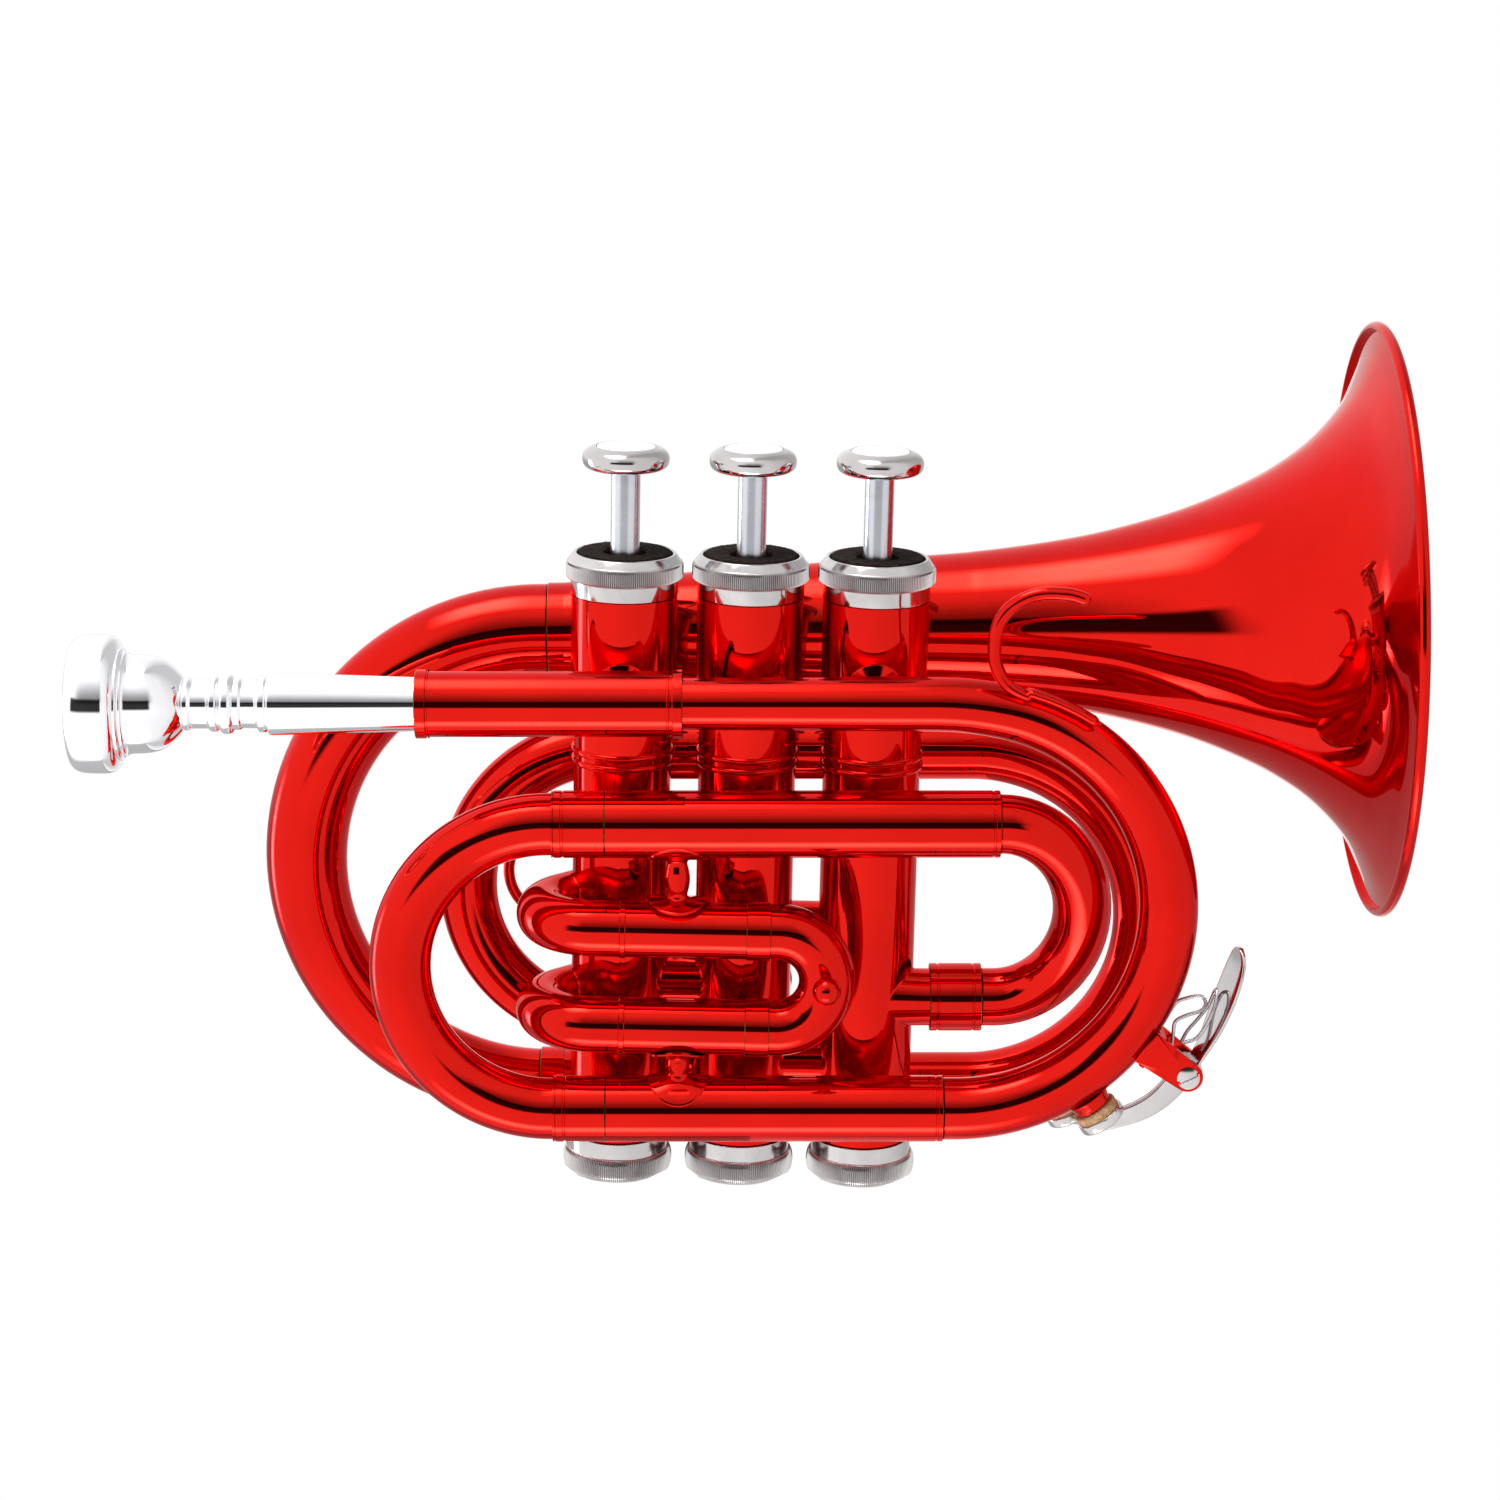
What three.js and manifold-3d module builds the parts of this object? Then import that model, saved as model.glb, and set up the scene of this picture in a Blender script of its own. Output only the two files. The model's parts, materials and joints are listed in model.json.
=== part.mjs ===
// Pocket trumpet: a full-length trumpet wrapped into a body about 265 mm long.
// Millimetres, +Z up, +X towards the bell, the player's right side faces -Y.
// The origin is the centre of the flat foot under the middle valve.

import * as THREE from 'three';
import { mergeVertices } from 'three/addons/utils/BufferGeometryUtils.js';
import Module from 'manifold-3d';

const wasm = await Module();
wasm.setup();

// Fits and facets
const gap = 0.3;
const overrun = 3;
const weld = 0.0005;
const tubeSides = 12;
const airSides = 6;
const casingSides = 16;
const capSides = 16;
const rodSides = 6;
const bowSteps = 8;
const elbowSteps = 4;

// Heights of the front tubes, stacked from the lower leg of the tuning slide
const lowerLegHeight = 21.5;
const sleeveRadius = 6.65;
const firstSlideRadius = 5.6;
const lowerBraceLength = 5.0;
const firstSlideSpread = 20.1;
const upperBraceLength = 9.8;
const leadpipeBowRadius = 5.5;
const leadpipeClearance = 12.25;
const firstLowerHeight = lowerLegHeight + sleeveRadius + lowerBraceLength + firstSlideRadius;
const firstUpperHeight = firstLowerHeight + firstSlideSpread;
const upperLegHeight = firstUpperHeight + firstSlideRadius + upperBraceLength + sleeveRadius;
const leadpipeHeight = upperLegHeight + sleeveRadius + leadpipeClearance + leadpipeBowRadius;

// Valve row: three upright casings that lean together
const valveLeanAngle = 1.19;
const valvePitch = 25.1;
const casingRadius = 9.8;
const casingUpperRadius = 10.6;
const casingShoulderHeight = 100.2;
const casingBeadHeight = 88.4;
const casingBeadPitch = 2.2;
const casingBeadRadius = 10.35;
const casingBeadHalfHeight = 0.7;
const pistonRadius = 8.3;
const threadWall = 0.45;
const pistonStroke = 16.2;

// Caps, felts, stems and finger buttons
const footKnurlRadius = 11.2;
const footKnurlHeight = 5.8;
const footBandHeight = 9.0;
const footBandRadius = 10.2;
const footFloor = 1.6;
const footEdge = 0.7;
const footFaceRadius = 7.2;
const footDishHeight = 1.2;
const capAboveLeadpipe = 17.3;
const topCapSkirtHeight = leadpipeHeight + capAboveLeadpipe;
const topCapSkirtLength = 3.1;
const topCapKnurlLength = 3.5;
const topCapBevelLength = 1.6;
const topCapKnurlHeight = topCapSkirtHeight + topCapSkirtLength;
const topCapKnurlTop = topCapKnurlHeight + topCapKnurlLength;
const topCapTop = topCapKnurlTop + topCapBevelLength;
const topCapSkirtRadius = 10.75;
const topCapKnurlRadius = 11.7;
const topCapLipRadius = 10.0;
const topCapPlate = 1.1;
const topCapHoleRadius = 5.2;
const feltThickness = 2.0;
const feltHoleRadius = 4.3;
const stemRadius = 2.9;
const buttonRadius = 8.5;
const buttonThickness = 5.3;
const buttonDish = 0.6;
const buttonInlayRadius = 6.6;
const buttonClearance = 0.5;
const stemSocketDepth = 2.6;

// Inside each valve
const pistonFootClearance = 2.5;
const barrelLength = 30.6;
const pistonBodyTop = topCapSkirtHeight - barrelLength;
const barrelRadius = 7.2;
const barrelWall = 1.0;
const barrelTopPlate = 1.6;
const guideThickness = 2.4;
const guideTabWidth = 3.2;
const windowSide = 0.5;
const springRadius = 4.9;
const springWire = 0.55;
const springTurns = 5;
const springStepsPerTurn = 6;
const channelRadius = 3.3;
const portBore = 4.7;
const leftKnuckleHeight = 42.4;
const rightKnuckleHeight = 25.5;

// Front plane: mouthpiece, receiver, leadpipe and tuning slide
const frontPlaneY = -20.5;
const mouthpieceRimX = -131.45;
const receiverMouthX = -63.35;
const receiverEndX = -11.05;
const receiverRadius = 6.55;
const receiverBeadRadius = 6.8;
const receiverBeadWidth = 2.4;
const shankMouthRadius = 5.47;
const shankTipRadius = 4.85;
const shankDepth = 19;
const shankBoreRadius = 1.9;
const mouthpieceRimRadius = 13.67;
const cupRadius = 8.2;
const cupDepth = 11;
const leadpipeStartRadius = 5.05;
const leadpipeEndRadius = 6.25;
const leadpipeWall = 0.6;
const socketDepth = 5;
const leadpipeStraightEndX = 38.85;
const easeRadius = 65;
const easeAngle = 12;

const upperSleeveLeftX = -26.05;
const upperSleeveRightX = 51.65;
const lowerSleeveLeftX = -26.45;
const lowerSleeveRightX = 41.05;
const sleeveRingRadius = 6.9;
const sleeveRingWidth = 1.4;
const slideLegRadius = 5.75;
const slideWall = 0.7;
const tuningBowRadius = 6.15;
const tuningBowX = -37.55;
const tuningLegLength = 42;
const tuningFerruleLength = 8.2;
const tuningFerruleRingWidth = 2.4;

// Return bow, which leans back to the third valve, and the entry tube
const entryHeight = 39.2;
const returnReach = 17.0;
const returnBowRadius = 5.87;
const entryFerruleRightX = 49.45;
const entryFerruleLeftX = 39.0;
const entryFerruleRadius = 6.8;
const entryRingRadius = 7.05;
const entryTubeRadius = 5.85;
const entryPortAngle = -20;

// First valve slide, in front of the valves
const firstLegRadius = 4.75;
const firstElbowX = -29.8;
const firstRingX = -24.57;
const firstRingWidth = 1.2;
const firstSleeveEndX = 0.43;
const firstFerruleLength = 5.0;
const firstCrookX = 6.83;
const firstLegLength = 25;
const knobRadius = 2.8;
const knobNeckRadius = 1.5;
const knobStandoff = 3.6;

// Second valve slide, behind the second valve
const secondHalfSpreadX = 5;
const secondLowerHeight = 26.2;
const secondUpperHeight = 34.2;
const secondRadius = 5.3;
const secondLegRadius = portBore - 1.5 * gap;
const secondSleeveEndY = 25;
const secondFerruleLength = 4;
const secondCrookY = 33;
const secondLegLength = 13;

// Third valve slide, behind the valves, with its finger ring
const thirdPlaneY = 22;
const thirdUpperHeight = 69.2;
const thirdLowerHeight = 46.3;
const thirdRadius = 5.75;
const thirdLegRadius = 4.85;
const thirdElbowRadius = 10.25;
const thirdSleeveEndX = 1;
const thirdFerruleLength = 5;
const thirdCrookX = -11.3;
const thirdLegLength = 13.6;
const fingerRingRadius = 10.1;
const fingerRingWire = 1.15;
const fingerRingSteps = 20;
const fingerRingStem = 1.3;

// Bell and the wrap behind the valves
const bellSmallX = -39.0;
const bellRimX = 132.2;
const bellRiseAngle = 0.68;
const bellGaugeX = 62;
const bellRimRadius = 61.2;
const bellWall = 0.8;
const bellRimBead = 1.0;
const bellSides = 24;
const beadCorners = 4;
const wrapPlaneY = 18;
const bellBowEndRadius = 7.3;
const wrapLowerHeight = 12.9;
const bellBowX = -42.2;
const branchBowX = 48.05;
const branchEndX = -26.05;
const branchMidRadius = 6.4;
const branchEndRadius = 6.2;
const valveBowX = -28.05;
const valveBowRadius = 27.7;
const valveBowAngle = 148;
const valveBowDrift = 8.5;
const valveBowTubeRadius = 6.1;
const valveBowEndRadius = 5.8;
const valveBowPortHeight = 28;
const valveBowPortAngle = 138;
const thirdToWrap = 4.95;
const wrapUpperHeight = thirdUpperHeight + thirdRadius + branchMidRadius + thirdToWrap;
const bellStandoff = 1.9;
const bellShareAtValves = 0.2;
const bellPlaneY = casingUpperRadius + bellStandoff + bellRimRadius * bellShareAtValves;
const wrapToBell = 1.4;
const bellShareAtLoop = 0.273;
const bellHeight = wrapUpperHeight + branchMidRadius + bellRimRadius * bellShareAtLoop + wrapToBell;
const wrapWall = 0.7;
const ferruleWidth = 5;
const ferruleRise = 0.5;

// Braces
const braceFlangeRadius = 5.7;
const bracePostRadius = 2.6;
const braceFlangeThickness = 1.0;
const slideBraceX = -11.9;
const lowerBracePostRadius = 2.3;

// Finger hook on the leadpipe bow
const hookRadius = 1.35;
const hookForward = 4.2;
const hookHeight = 21.5;
const hookReach = 21.5;
const hookFootStartAngle = 15.5;
const hookFootEndAngle = 34.5;

// Water key with two cups on one lever
const keyAngle = -57;
const keyNippleRadius = 3.2;
const keyNippleBore = 1.4;
const keyNippleHeight = 2.2;
const keyCorkRadius = 3.3;
const keyCorkThickness = 3.0;
const keyCupRadius = 4.2;
const keyCupWall = 0.6;
const keyCupDepth = 2.2;
const rearKeyAngle = -63.2;
const pivotAngle = -36;
const pivotStandoff = 8.9;
const barrelKeyRadius = 2.4;
const barrelKeyLength = 6.2;
const screwRadius = 1.2;
const screwHeadRadius = 2.3;
const screwHeadHeight = 1.3;
const screwSlotWidth = 0.6;
const earThickness = 1.5;
const earRadius = 2.9;
const earGap = 10.2;
const keyArmWidth = 3.4;
const keyArmThickness = 1.6;
const keyRodRadius = 1.25;
const plateWidth = 9;
const plateThickness = 1.1;
const plateTipAngle = -7.8;
const plateRootLift = 1.9;
const plateTipLift = 0.8;
const keySpringWire = 0.4;
const keySpringTurns = 3;
const keySpringRadius = 2.15;

// Finishes
const lacquer = { color: 0xc4170e, roughness: 0.12, metalness: 0.9 };
const nickel = { color: 0xd9d7d4, roughness: 0.16, metalness: 1.0 };
const silver = { color: 0xeeeeee, roughness: 0.1, metalness: 1.0 };
const springSteel = { color: 0xb9bcc0, roughness: 0.3, metalness: 1.0 };
const blackFelt = { color: 0x17120f, roughness: 0.95, metalness: 0.0 };
const corkTan = { color: 0xb98a57, roughness: 0.9, metalness: 0.0 };
const nylon = { color: 0xe8e2d2, roughness: 0.5, metalness: 0.0 };

const axisX = new THREE.Vector3(1, 0, 0);
const axisY = new THREE.Vector3(0, 1, 0);
const axisZ = new THREE.Vector3(0, 0, 1);

function radians(degrees) {
  return THREE.MathUtils.degToRad(degrees);
}

function at(x, y, z) {
  return new THREE.Vector3(x, y, z);
}

// A closed body: seams welded, collapsed triangles dropped, faces turned outwards.
function closed(source) {
  const geometry = source.clone();
  geometry.deleteAttribute('normal');
  geometry.deleteAttribute('uv');
  const merged = mergeVertices(geometry, weld);
  const position = merged.getAttribute('position');
  const index = merged.getIndex().array;
  const kept = [];
  let volume = 0;
  const a = new THREE.Vector3();
  const b = new THREE.Vector3();
  const c = new THREE.Vector3();
  for (let i = 0; i < index.length; i += 3) {
    const corners = [index[i], index[i + 1], index[i + 2]];
    if (new Set(corners).size < 3) continue;
    a.fromBufferAttribute(position, corners[0]);
    b.fromBufferAttribute(position, corners[1]);
    c.fromBufferAttribute(position, corners[2]);
    volume += a.dot(b.cross(c));
    kept.push(corners);
  }
  const turned = volume < 0 ? kept.map(([p, q, r]) => [p, r, q]) : kept;
  merged.setIndex(turned.flat());
  return merged;
}

function toSolid(geometry) {
  const body = closed(geometry);
  return new wasm.Manifold(new wasm.Mesh({
    numProp: 3,
    vertProperties: new Float32Array(body.getAttribute('position').array),
    triVerts: new Uint32Array(body.getIndex().array),
  }));
}

function fromSolid(solid) {
  const mesh = solid.getMesh();
  const geometry = new THREE.BufferGeometry();
  const stride = mesh.numProp;
  const count = mesh.vertProperties.length / stride;
  const position = new Float32Array(count * 3);
  for (let i = 0; i < count; i += 1) {
    for (let k = 0; k < 3; k += 1) position[i * 3 + k] = mesh.vertProperties[i * stride + k];
  }
  geometry.setAttribute('position', new THREE.BufferAttribute(position, 3));
  geometry.setIndex(Array.from(mesh.triVerts));
  return geometry;
}

function cut(base, ...tools) {
  return fromSolid(tools.reduce((solid, tool) => solid.subtract(toSolid(tool)), toSolid(base)));
}

function join(base, ...others) {
  return fromSolid(others.reduce((solid, other) => solid.add(toSolid(other)), toSolid(base)));
}

// A body of revolution about Z from [radius, height] pairs. A profile that leaves
// the axis open is closed on itself, which makes a ring.
function turned(profile, sides) {
  const points = profile.map(([radius, height]) => new THREE.Vector2(radius, height));
  const onAxis = points[0].x === 0 && points[points.length - 1].x === 0;
  if (!onAxis) points.push(points[0].clone());
  const geometry = new THREE.LatheGeometry(points, sides);
  geometry.rotateX(radians(90));
  return closed(geometry);
}

// Turns a body built along Z so that it runs along the given direction from a start.
function aimed(geometry, start, direction) {
  const turn = new THREE.Quaternion().setFromUnitVectors(axisZ, direction.clone().normalize());
  return geometry.applyQuaternion(turn).translate(start.x, start.y, start.z);
}

function rod(start, end, radius, sides) {
  const run = end.clone().sub(start);
  const body = new THREE.CylinderGeometry(radius, radius, run.length(), sides);
  body.rotateX(radians(90)).translate(0, 0, run.length() / 2);
  return aimed(body, start, run);
}

// A filled cylinder whose facets line up with those of the tubes
function tubeCore(start, end, radius) {
  const run = end.clone().sub(start);
  return new TubeRun(start, run, radius, 0).straight(run.length()).body(axisY);
}

// A tube laid like a maker bends it: straight lengths, bends, and steps in diameter.
class TubeRun {
  constructor(start, heading, outer, bore) {
    this.place = start.clone();
    this.heading = heading.clone().normalize();
    this.outer = outer;
    this.bore = bore;
    this.rings = [];
    this.mark();
  }

  mark() {
    this.rings.push({
      place: this.place.clone(),
      heading: this.heading.clone(),
      outer: this.outer,
      bore: this.bore,
    });
  }

  step(outer, bore = this.bore) {
    this.outer = outer;
    this.bore = bore;
    this.mark();
    return this;
  }

  straight(length, outer = this.outer, bore = this.bore) {
    this.place.addScaledVector(this.heading, length);
    return this.step(outer, bore);
  }

  band(length, outer) {
    const before = this.outer;
    return this.step(outer).straight(length).step(before);
  }

  bend(axis, radius, sweep, steps, outer = this.outer, bore = this.bore, drift = 0) {
    const pivot = axis.clone().normalize();
    const centre = this.place.clone().addScaledVector(pivot.clone().cross(this.heading), radius);
    const turn = radians(sweep) / steps;
    const outerStep = (outer - this.outer) / steps;
    const boreStep = (bore - this.bore) / steps;
    const rise = drift / steps;
    for (let i = 0; i < steps; i += 1) {
      this.place.sub(centre).applyAxisAngle(pivot, turn).add(centre);
      this.place.addScaledVector(pivot, rise);
      centre.addScaledVector(pivot, rise);
      this.heading.applyAxisAngle(pivot, turn);
      this.step(this.outer + outerStep, this.bore + boreStep);
    }
    return this;
  }

  along(curve, steps, outer = this.outer, bore = this.bore) {
    const outerStep = (outer - this.outer) / steps;
    const boreStep = (bore - this.bore) / steps;
    for (let i = 1; i <= steps; i += 1) {
      this.place.copy(curve.getPoint(i / steps));
      this.heading.copy(curve.getTangent(i / steps));
      this.step(this.outer + outerStep, this.bore + boreStep);
    }
    return this;
  }

  // The wall between the outer skin and the bore, with a flat ring at each end.
  // A bore of zero gives a solid rod. The bore may have half the sides of the skin.
  body(reference, sides = tubeSides, boreSides = airSides) {
    const hollow = this.bore > 0;
    const share = sides / boreSides;
    const loops = this.rings.map((ring) => {
      const across = reference.clone().cross(ring.heading).normalize();
      const along = ring.heading.clone().cross(across);
      const loop = (radius, count) => Array.from({ length: count }, (unused, k) => {
        const angle = (2 * Math.PI * k) / count;
        return ring.place.clone()
          .addScaledVector(across, radius * Math.cos(angle))
          .addScaledVector(along, radius * Math.sin(angle));
      });
      const inside = hollow ? loop(ring.bore, boreSides) : [ring.place];
      return { skin: loop(ring.outer, sides), inside };
    });
    const corners = [];
    const strip = (here, there) => here.forEach((point, k) => {
      const next = (k + 1) % here.length;
      corners.push(point, here[next], there[next], point, there[next], there[k]);
    });
    const lid = (loop, turnedBack) => loop.skin.forEach((point, k) => {
      const next = (k + 1) % sides;
      const inner = hollow ? Math.floor(k / share) : 0;
      const trio = [loop.inside[inner], loop.skin[next], point];
      corners.push(...(turnedBack ? trio.reverse() : trio));
      if (!hollow || next % share !== 0) return;
      const bridge = [loop.inside[inner], loop.inside[(inner + 1) % boreSides], loop.skin[next]];
      corners.push(...(turnedBack ? bridge.reverse() : bridge));
    });
    loops.slice(1).forEach((there, i) => {
      strip(loops[i].skin, there.skin);
      if (hollow) strip(there.inside, loops[i].inside);
    });
    lid(loops[0], false);
    lid(loops[loops.length - 1], true);
    return closed(new THREE.BufferGeometry().setFromPoints(corners));
  }

  // The run filled in: by its skin, or by the air inside it
  filled(radiusOf, reference, sides = tubeSides) {
    const run = new TubeRun(this.place, this.heading, radiusOf(this), 0);
    run.rings = this.rings.map((ring) => ({ ...ring, outer: radiusOf(ring), bore: 0 }));
    return run.body(reference, sides);
  }
}

const skinOf = (ring) => ring.outer;
const airOf = (ring) => ring.bore;

const trumpet = new THREE.Group();
const valveRow = new THREE.Group();
valveRow.rotation.y = radians(valveLeanAngle);
trumpet.add(valveRow);
valveRow.updateMatrix();

function addPiece(group, name, geometry, finish) {
  const material = new THREE.MeshStandardMaterial(finish);
  const mesh = new THREE.Mesh(closed(geometry), material);
  mesh.name = name;
  group.add(mesh);
}

// Places along the valve row, in the row's own leaning frame
const valveNumbers = [1, 2, 3];
const leanRise = Math.sin(radians(valveLeanAngle));
const valveX = (number) => (number - 2) * valvePitch;
const casingBore = pistonRadius + gap;
const pistonFoot = footFloor + pistonStroke + pistonFootClearance;
const capPlateTop = topCapTop - feltThickness - gap;
const capPlateUnder = capPlateTop - topCapPlate;
const barrelTop = capPlateUnder - gap;
const barrelBore = barrelRadius - barrelWall;
const guideSeat = pistonBodyTop + gap;
const windowTop = guideSeat + guideThickness + pistonStroke + gap;
const buttonUnder = topCapTop + pistonStroke + buttonClearance;
const knuckleHeights = { left: leftKnuckleHeight, right: rightKnuckleHeight };

// Every port: which way it faces from the valve axis, and its height
const valvePorts = {
  1: {
    fromValve: { turn: 0, height: knuckleHeights.left },
    toBell: { turn: valveBowPortAngle, height: valveBowPortHeight },
    slideOut: { turn: 180, height: firstUpperHeight },
    slideBack: { turn: 180, height: firstLowerHeight },
  },
  2: {
    fromValve: { turn: 0, height: knuckleHeights.right },
    toBell: { turn: 180, height: knuckleHeights.left },
    slideOut: { turn: 90, height: secondUpperHeight, aside: secondHalfSpreadX },
    slideBack: { turn: 90, height: secondLowerHeight, aside: -secondHalfSpreadX },
  },
  3: {
    fromValve: { turn: entryPortAngle, height: entryHeight + valvePitch * leanRise },
    toBell: { turn: 180, height: knuckleHeights.right },
    slideOut: { turn: 90, height: thirdUpperHeight },
    slideBack: { turn: 90, height: thirdLowerHeight },
  },
};

function portDirection(port) {
  return at(Math.cos(radians(port.turn)), Math.sin(radians(port.turn)), 0);
}

// A point on a port's own line, which may stand beside the valve axis
function portPoint(port, reach, lift) {
  const direction = portDirection(port);
  const sideways = direction.clone().cross(axisZ);
  return direction.multiplyScalar(reach)
    .addScaledVector(sideways, port.aside ?? 0)
    .setZ(port.height + lift);
}

function casingEnvelope(number, margin) {
  const radius = casingRadius + margin;
  const body = rod(at(0, 0, -overrun), at(0, 0, topCapTop), radius, casingSides);
  return body.translate(valveX(number), 0, 0);
}

// The same envelope where it stands in the whole trumpet
function casingInPlace(number, margin) {
  return casingEnvelope(number, margin).applyMatrix4(valveRow.matrix);
}

// Second valve slide: its two short sleeves point straight back from the casing
// and are soldered to it, one above the other on the slant
function secondSleeve(port) {
  const start = portPoint(port, 0, 0);
  return new TubeRun(start, portDirection(port), secondRadius, portBore)
    .straight(secondSleeveEndY - firstRingWidth)
    .step(secondRadius + gap)
    .straight(firstRingWidth)
    .body(axisZ, tubeSides, tubeSides);
}

// Valve casing: a thin tube with threads under both caps, two turned beads,
// a thicker upper half, and a round hole for every tube that meets it
function casing(number) {
  const footThreadRadius = casingBore + threadWall;
  const topThreadRadius = casingUpperRadius - 2 * threadWall;
  const beads = [casingBeadHeight, casingBeadHeight + casingBeadPitch].flatMap((height) => [
    [casingRadius, height - casingBeadHalfHeight],
    [casingBeadRadius, height],
    [casingRadius, height + casingBeadHalfHeight],
  ]);
  const wall = turned([
    [casingBore, footFloor + gap],
    [footThreadRadius, footFloor + gap],
    [footThreadRadius, footBandHeight + gap],
    [casingRadius, footBandHeight + gap],
    ...beads,
    [casingRadius, casingShoulderHeight],
    [casingUpperRadius, casingShoulderHeight + (casingUpperRadius - casingRadius)],
    [casingUpperRadius, topCapSkirtHeight - gap],
    [topThreadRadius, topCapSkirtHeight - gap],
    [topThreadRadius, capPlateUnder - gap],
    [casingBore, capPlateUnder - gap],
  ], casingSides);
  const ports = Object.values(valvePorts[number]);
  const hole = (port, reach) => {
    const start = portPoint(port, 0, 0);
    return rod(start, portPoint(port, reach, 0), portBore, tubeSides);
  };
  const holes = ports.map((port) => hole(port, casingRadius + overrun));
  if (number !== 2) return cut(wall, ...holes).translate(valveX(number), 0, 0);
  const { slideOut, slideBack } = valvePorts[2];
  const inner = rod(at(0, 0, 0), at(0, 0, topCapTop), casingBore, casingSides);
  const sleeves = [slideOut, slideBack].map((port) => cut(secondSleeve(port), inner));
  return cut(join(wall, ...sleeves), ...holes).translate(valveX(number), 0, 0);
}

function footCap() {
  const footThreadRadius = casingBore + threadWall + gap;
  return turned([
    [0, 0],
    [footFaceRadius, 0],
    [footKnurlRadius - footEdge, footDishHeight],
    [footKnurlRadius, footDishHeight + footEdge],
    [footKnurlRadius, footKnurlHeight - footEdge],
    [footKnurlRadius - footEdge, footKnurlHeight],
    [footBandRadius, footKnurlHeight],
    [footBandRadius, footBandHeight],
    [footThreadRadius, footBandHeight],
    [footThreadRadius, footFloor],
    [0, footFloor],
  ], capSides);
}

function topCap() {
  const threadRadius = casingUpperRadius - 2 * threadWall + gap;
  return turned([
    [threadRadius, topCapSkirtHeight],
    [topCapSkirtRadius, topCapSkirtHeight],
    [topCapSkirtRadius, topCapKnurlHeight],
    [topCapKnurlRadius, topCapKnurlHeight],
    [topCapKnurlRadius, topCapKnurlTop],
    [topCapLipRadius, topCapTop],
    [topCapLipRadius - 2 * gap, topCapTop],
    [topCapLipRadius - 2 * gap, capPlateTop],
    [topCapHoleRadius, capPlateTop],
    [topCapHoleRadius, capPlateUnder],
    [threadRadius, capPlateUnder],
  ], capSides);
}

function capFelt() {
  const outer = topCapLipRadius - 3 * gap;
  return turned([
    [feltHoleRadius, topCapTop - feltThickness],
    [outer, topCapTop - feltThickness],
    [outer, topCapTop],
    [feltHoleRadius, topCapTop],
  ], capSides);
}

// Piston: a ground cylinder crossed by three airways, and above it the spring
// barrel with a window on each side for the valve guide
function piston(number) {
  const body = turned([
    [0, pistonFoot],
    [pistonRadius, pistonFoot],
    [pistonRadius, pistonBodyTop],
    [barrelRadius, pistonBodyTop],
    [barrelRadius, barrelTop],
    [stemRadius + gap, barrelTop],
    [stemRadius + gap, barrelTop - barrelTopPlate],
    [barrelBore, barrelTop - barrelTopPlate],
    [barrelBore, pistonBodyTop],
    [0, pistonBodyTop],
  ], casingSides);
  const ports = valvePorts[number];
  const reach = pistonRadius + overrun;
  const mouth = (port, lift) => portPoint(port, reach, lift);
  const airway = (one, other, lift) => rod(mouth(one, lift), mouth(other, lift), channelRadius, rodSides);
  const windowHeight = windowTop - pistonBodyTop;
  const windows = new THREE.BoxGeometry(
    2 * (barrelRadius + overrun),
    guideTabWidth + 2 * windowSide,
    windowHeight,
  ).translate(0, 0, pistonBodyTop + windowHeight / 2);
  return cut(
    body,
    airway(ports.fromValve, ports.toBell, 0),
    airway(ports.fromValve, ports.slideOut, pistonStroke),
    airway(ports.slideBack, ports.toBell, pistonStroke),
    windows,
  ).translate(valveX(number), 0, 0);
}

// Valve guide: a disc inside the barrel with two tabs that reach the casing wall
function valveGuide() {
  const disc = rod(
    at(0, 0, guideSeat),
    at(0, 0, guideSeat + guideThickness),
    barrelBore - gap,
    casingSides,
  );
  const tabs = new THREE.BoxGeometry(2 * (pistonRadius - gap), guideTabWidth, guideThickness);
  return join(disc, tabs.translate(0, 0, guideSeat + guideThickness / 2));
}

// Stem: a rod screwed into the barrel top, with a flange that bears on the plate
function valveStem() {
  const flange = stemRadius + gap + barrelWall;
  const plateUnder = barrelTop - barrelTopPlate - gap;
  const socketTop = buttonUnder + stemSocketDepth;
  return turned([
    [0, plateUnder - barrelWall],
    [flange, plateUnder - barrelWall],
    [flange, plateUnder],
    [stemRadius, plateUnder],
    [stemRadius, socketTop],
    [0, socketTop],
  ], capSides / 2);
}

// Finger button: a rounded nickel disc with a shallow dish for the inlay
function fingerButton() {
  const middle = buttonUnder + buttonThickness / 2;
  const top = buttonUnder + buttonThickness;
  const shoulder = buttonThickness / 4;
  const socket = stemRadius + gap;
  return turned([
    [0, buttonUnder + stemSocketDepth + gap],
    [socket, buttonUnder + stemSocketDepth + gap],
    [socket, buttonUnder],
    [buttonRadius - 2 * shoulder, buttonUnder],
    [buttonRadius - shoulder / 2, middle - shoulder],
    [buttonRadius, middle],
    [buttonRadius - shoulder / 2, middle + shoulder],
    [buttonInlayRadius, top],
    [0, top - buttonDish],
  ], capSides);
}

// Return spring: an open coil between the guide and the barrel top
class Coil extends THREE.Curve {
  constructor(radius, low, high, turns) {
    super();
    Object.assign(this, { radius, low, high, turns });
  }

  getPoint(t, target = new THREE.Vector3()) {
    const angle = 2 * Math.PI * this.turns * t;
    const height = THREE.MathUtils.lerp(this.low, this.high, t);
    return target.set(this.radius * Math.cos(angle), this.radius * Math.sin(angle), height);
  }
}

function wireSection(radius, sides) {
  const shape = new THREE.Shape();
  for (let k = 0; k < sides; k += 1) {
    const angle = (2 * Math.PI * k) / sides;
    const x = radius * Math.cos(angle);
    const y = radius * Math.sin(angle);
    if (k === 0) shape.moveTo(x, y);
    else shape.lineTo(x, y);
  }
  shape.closePath();
  return shape;
}

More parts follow.
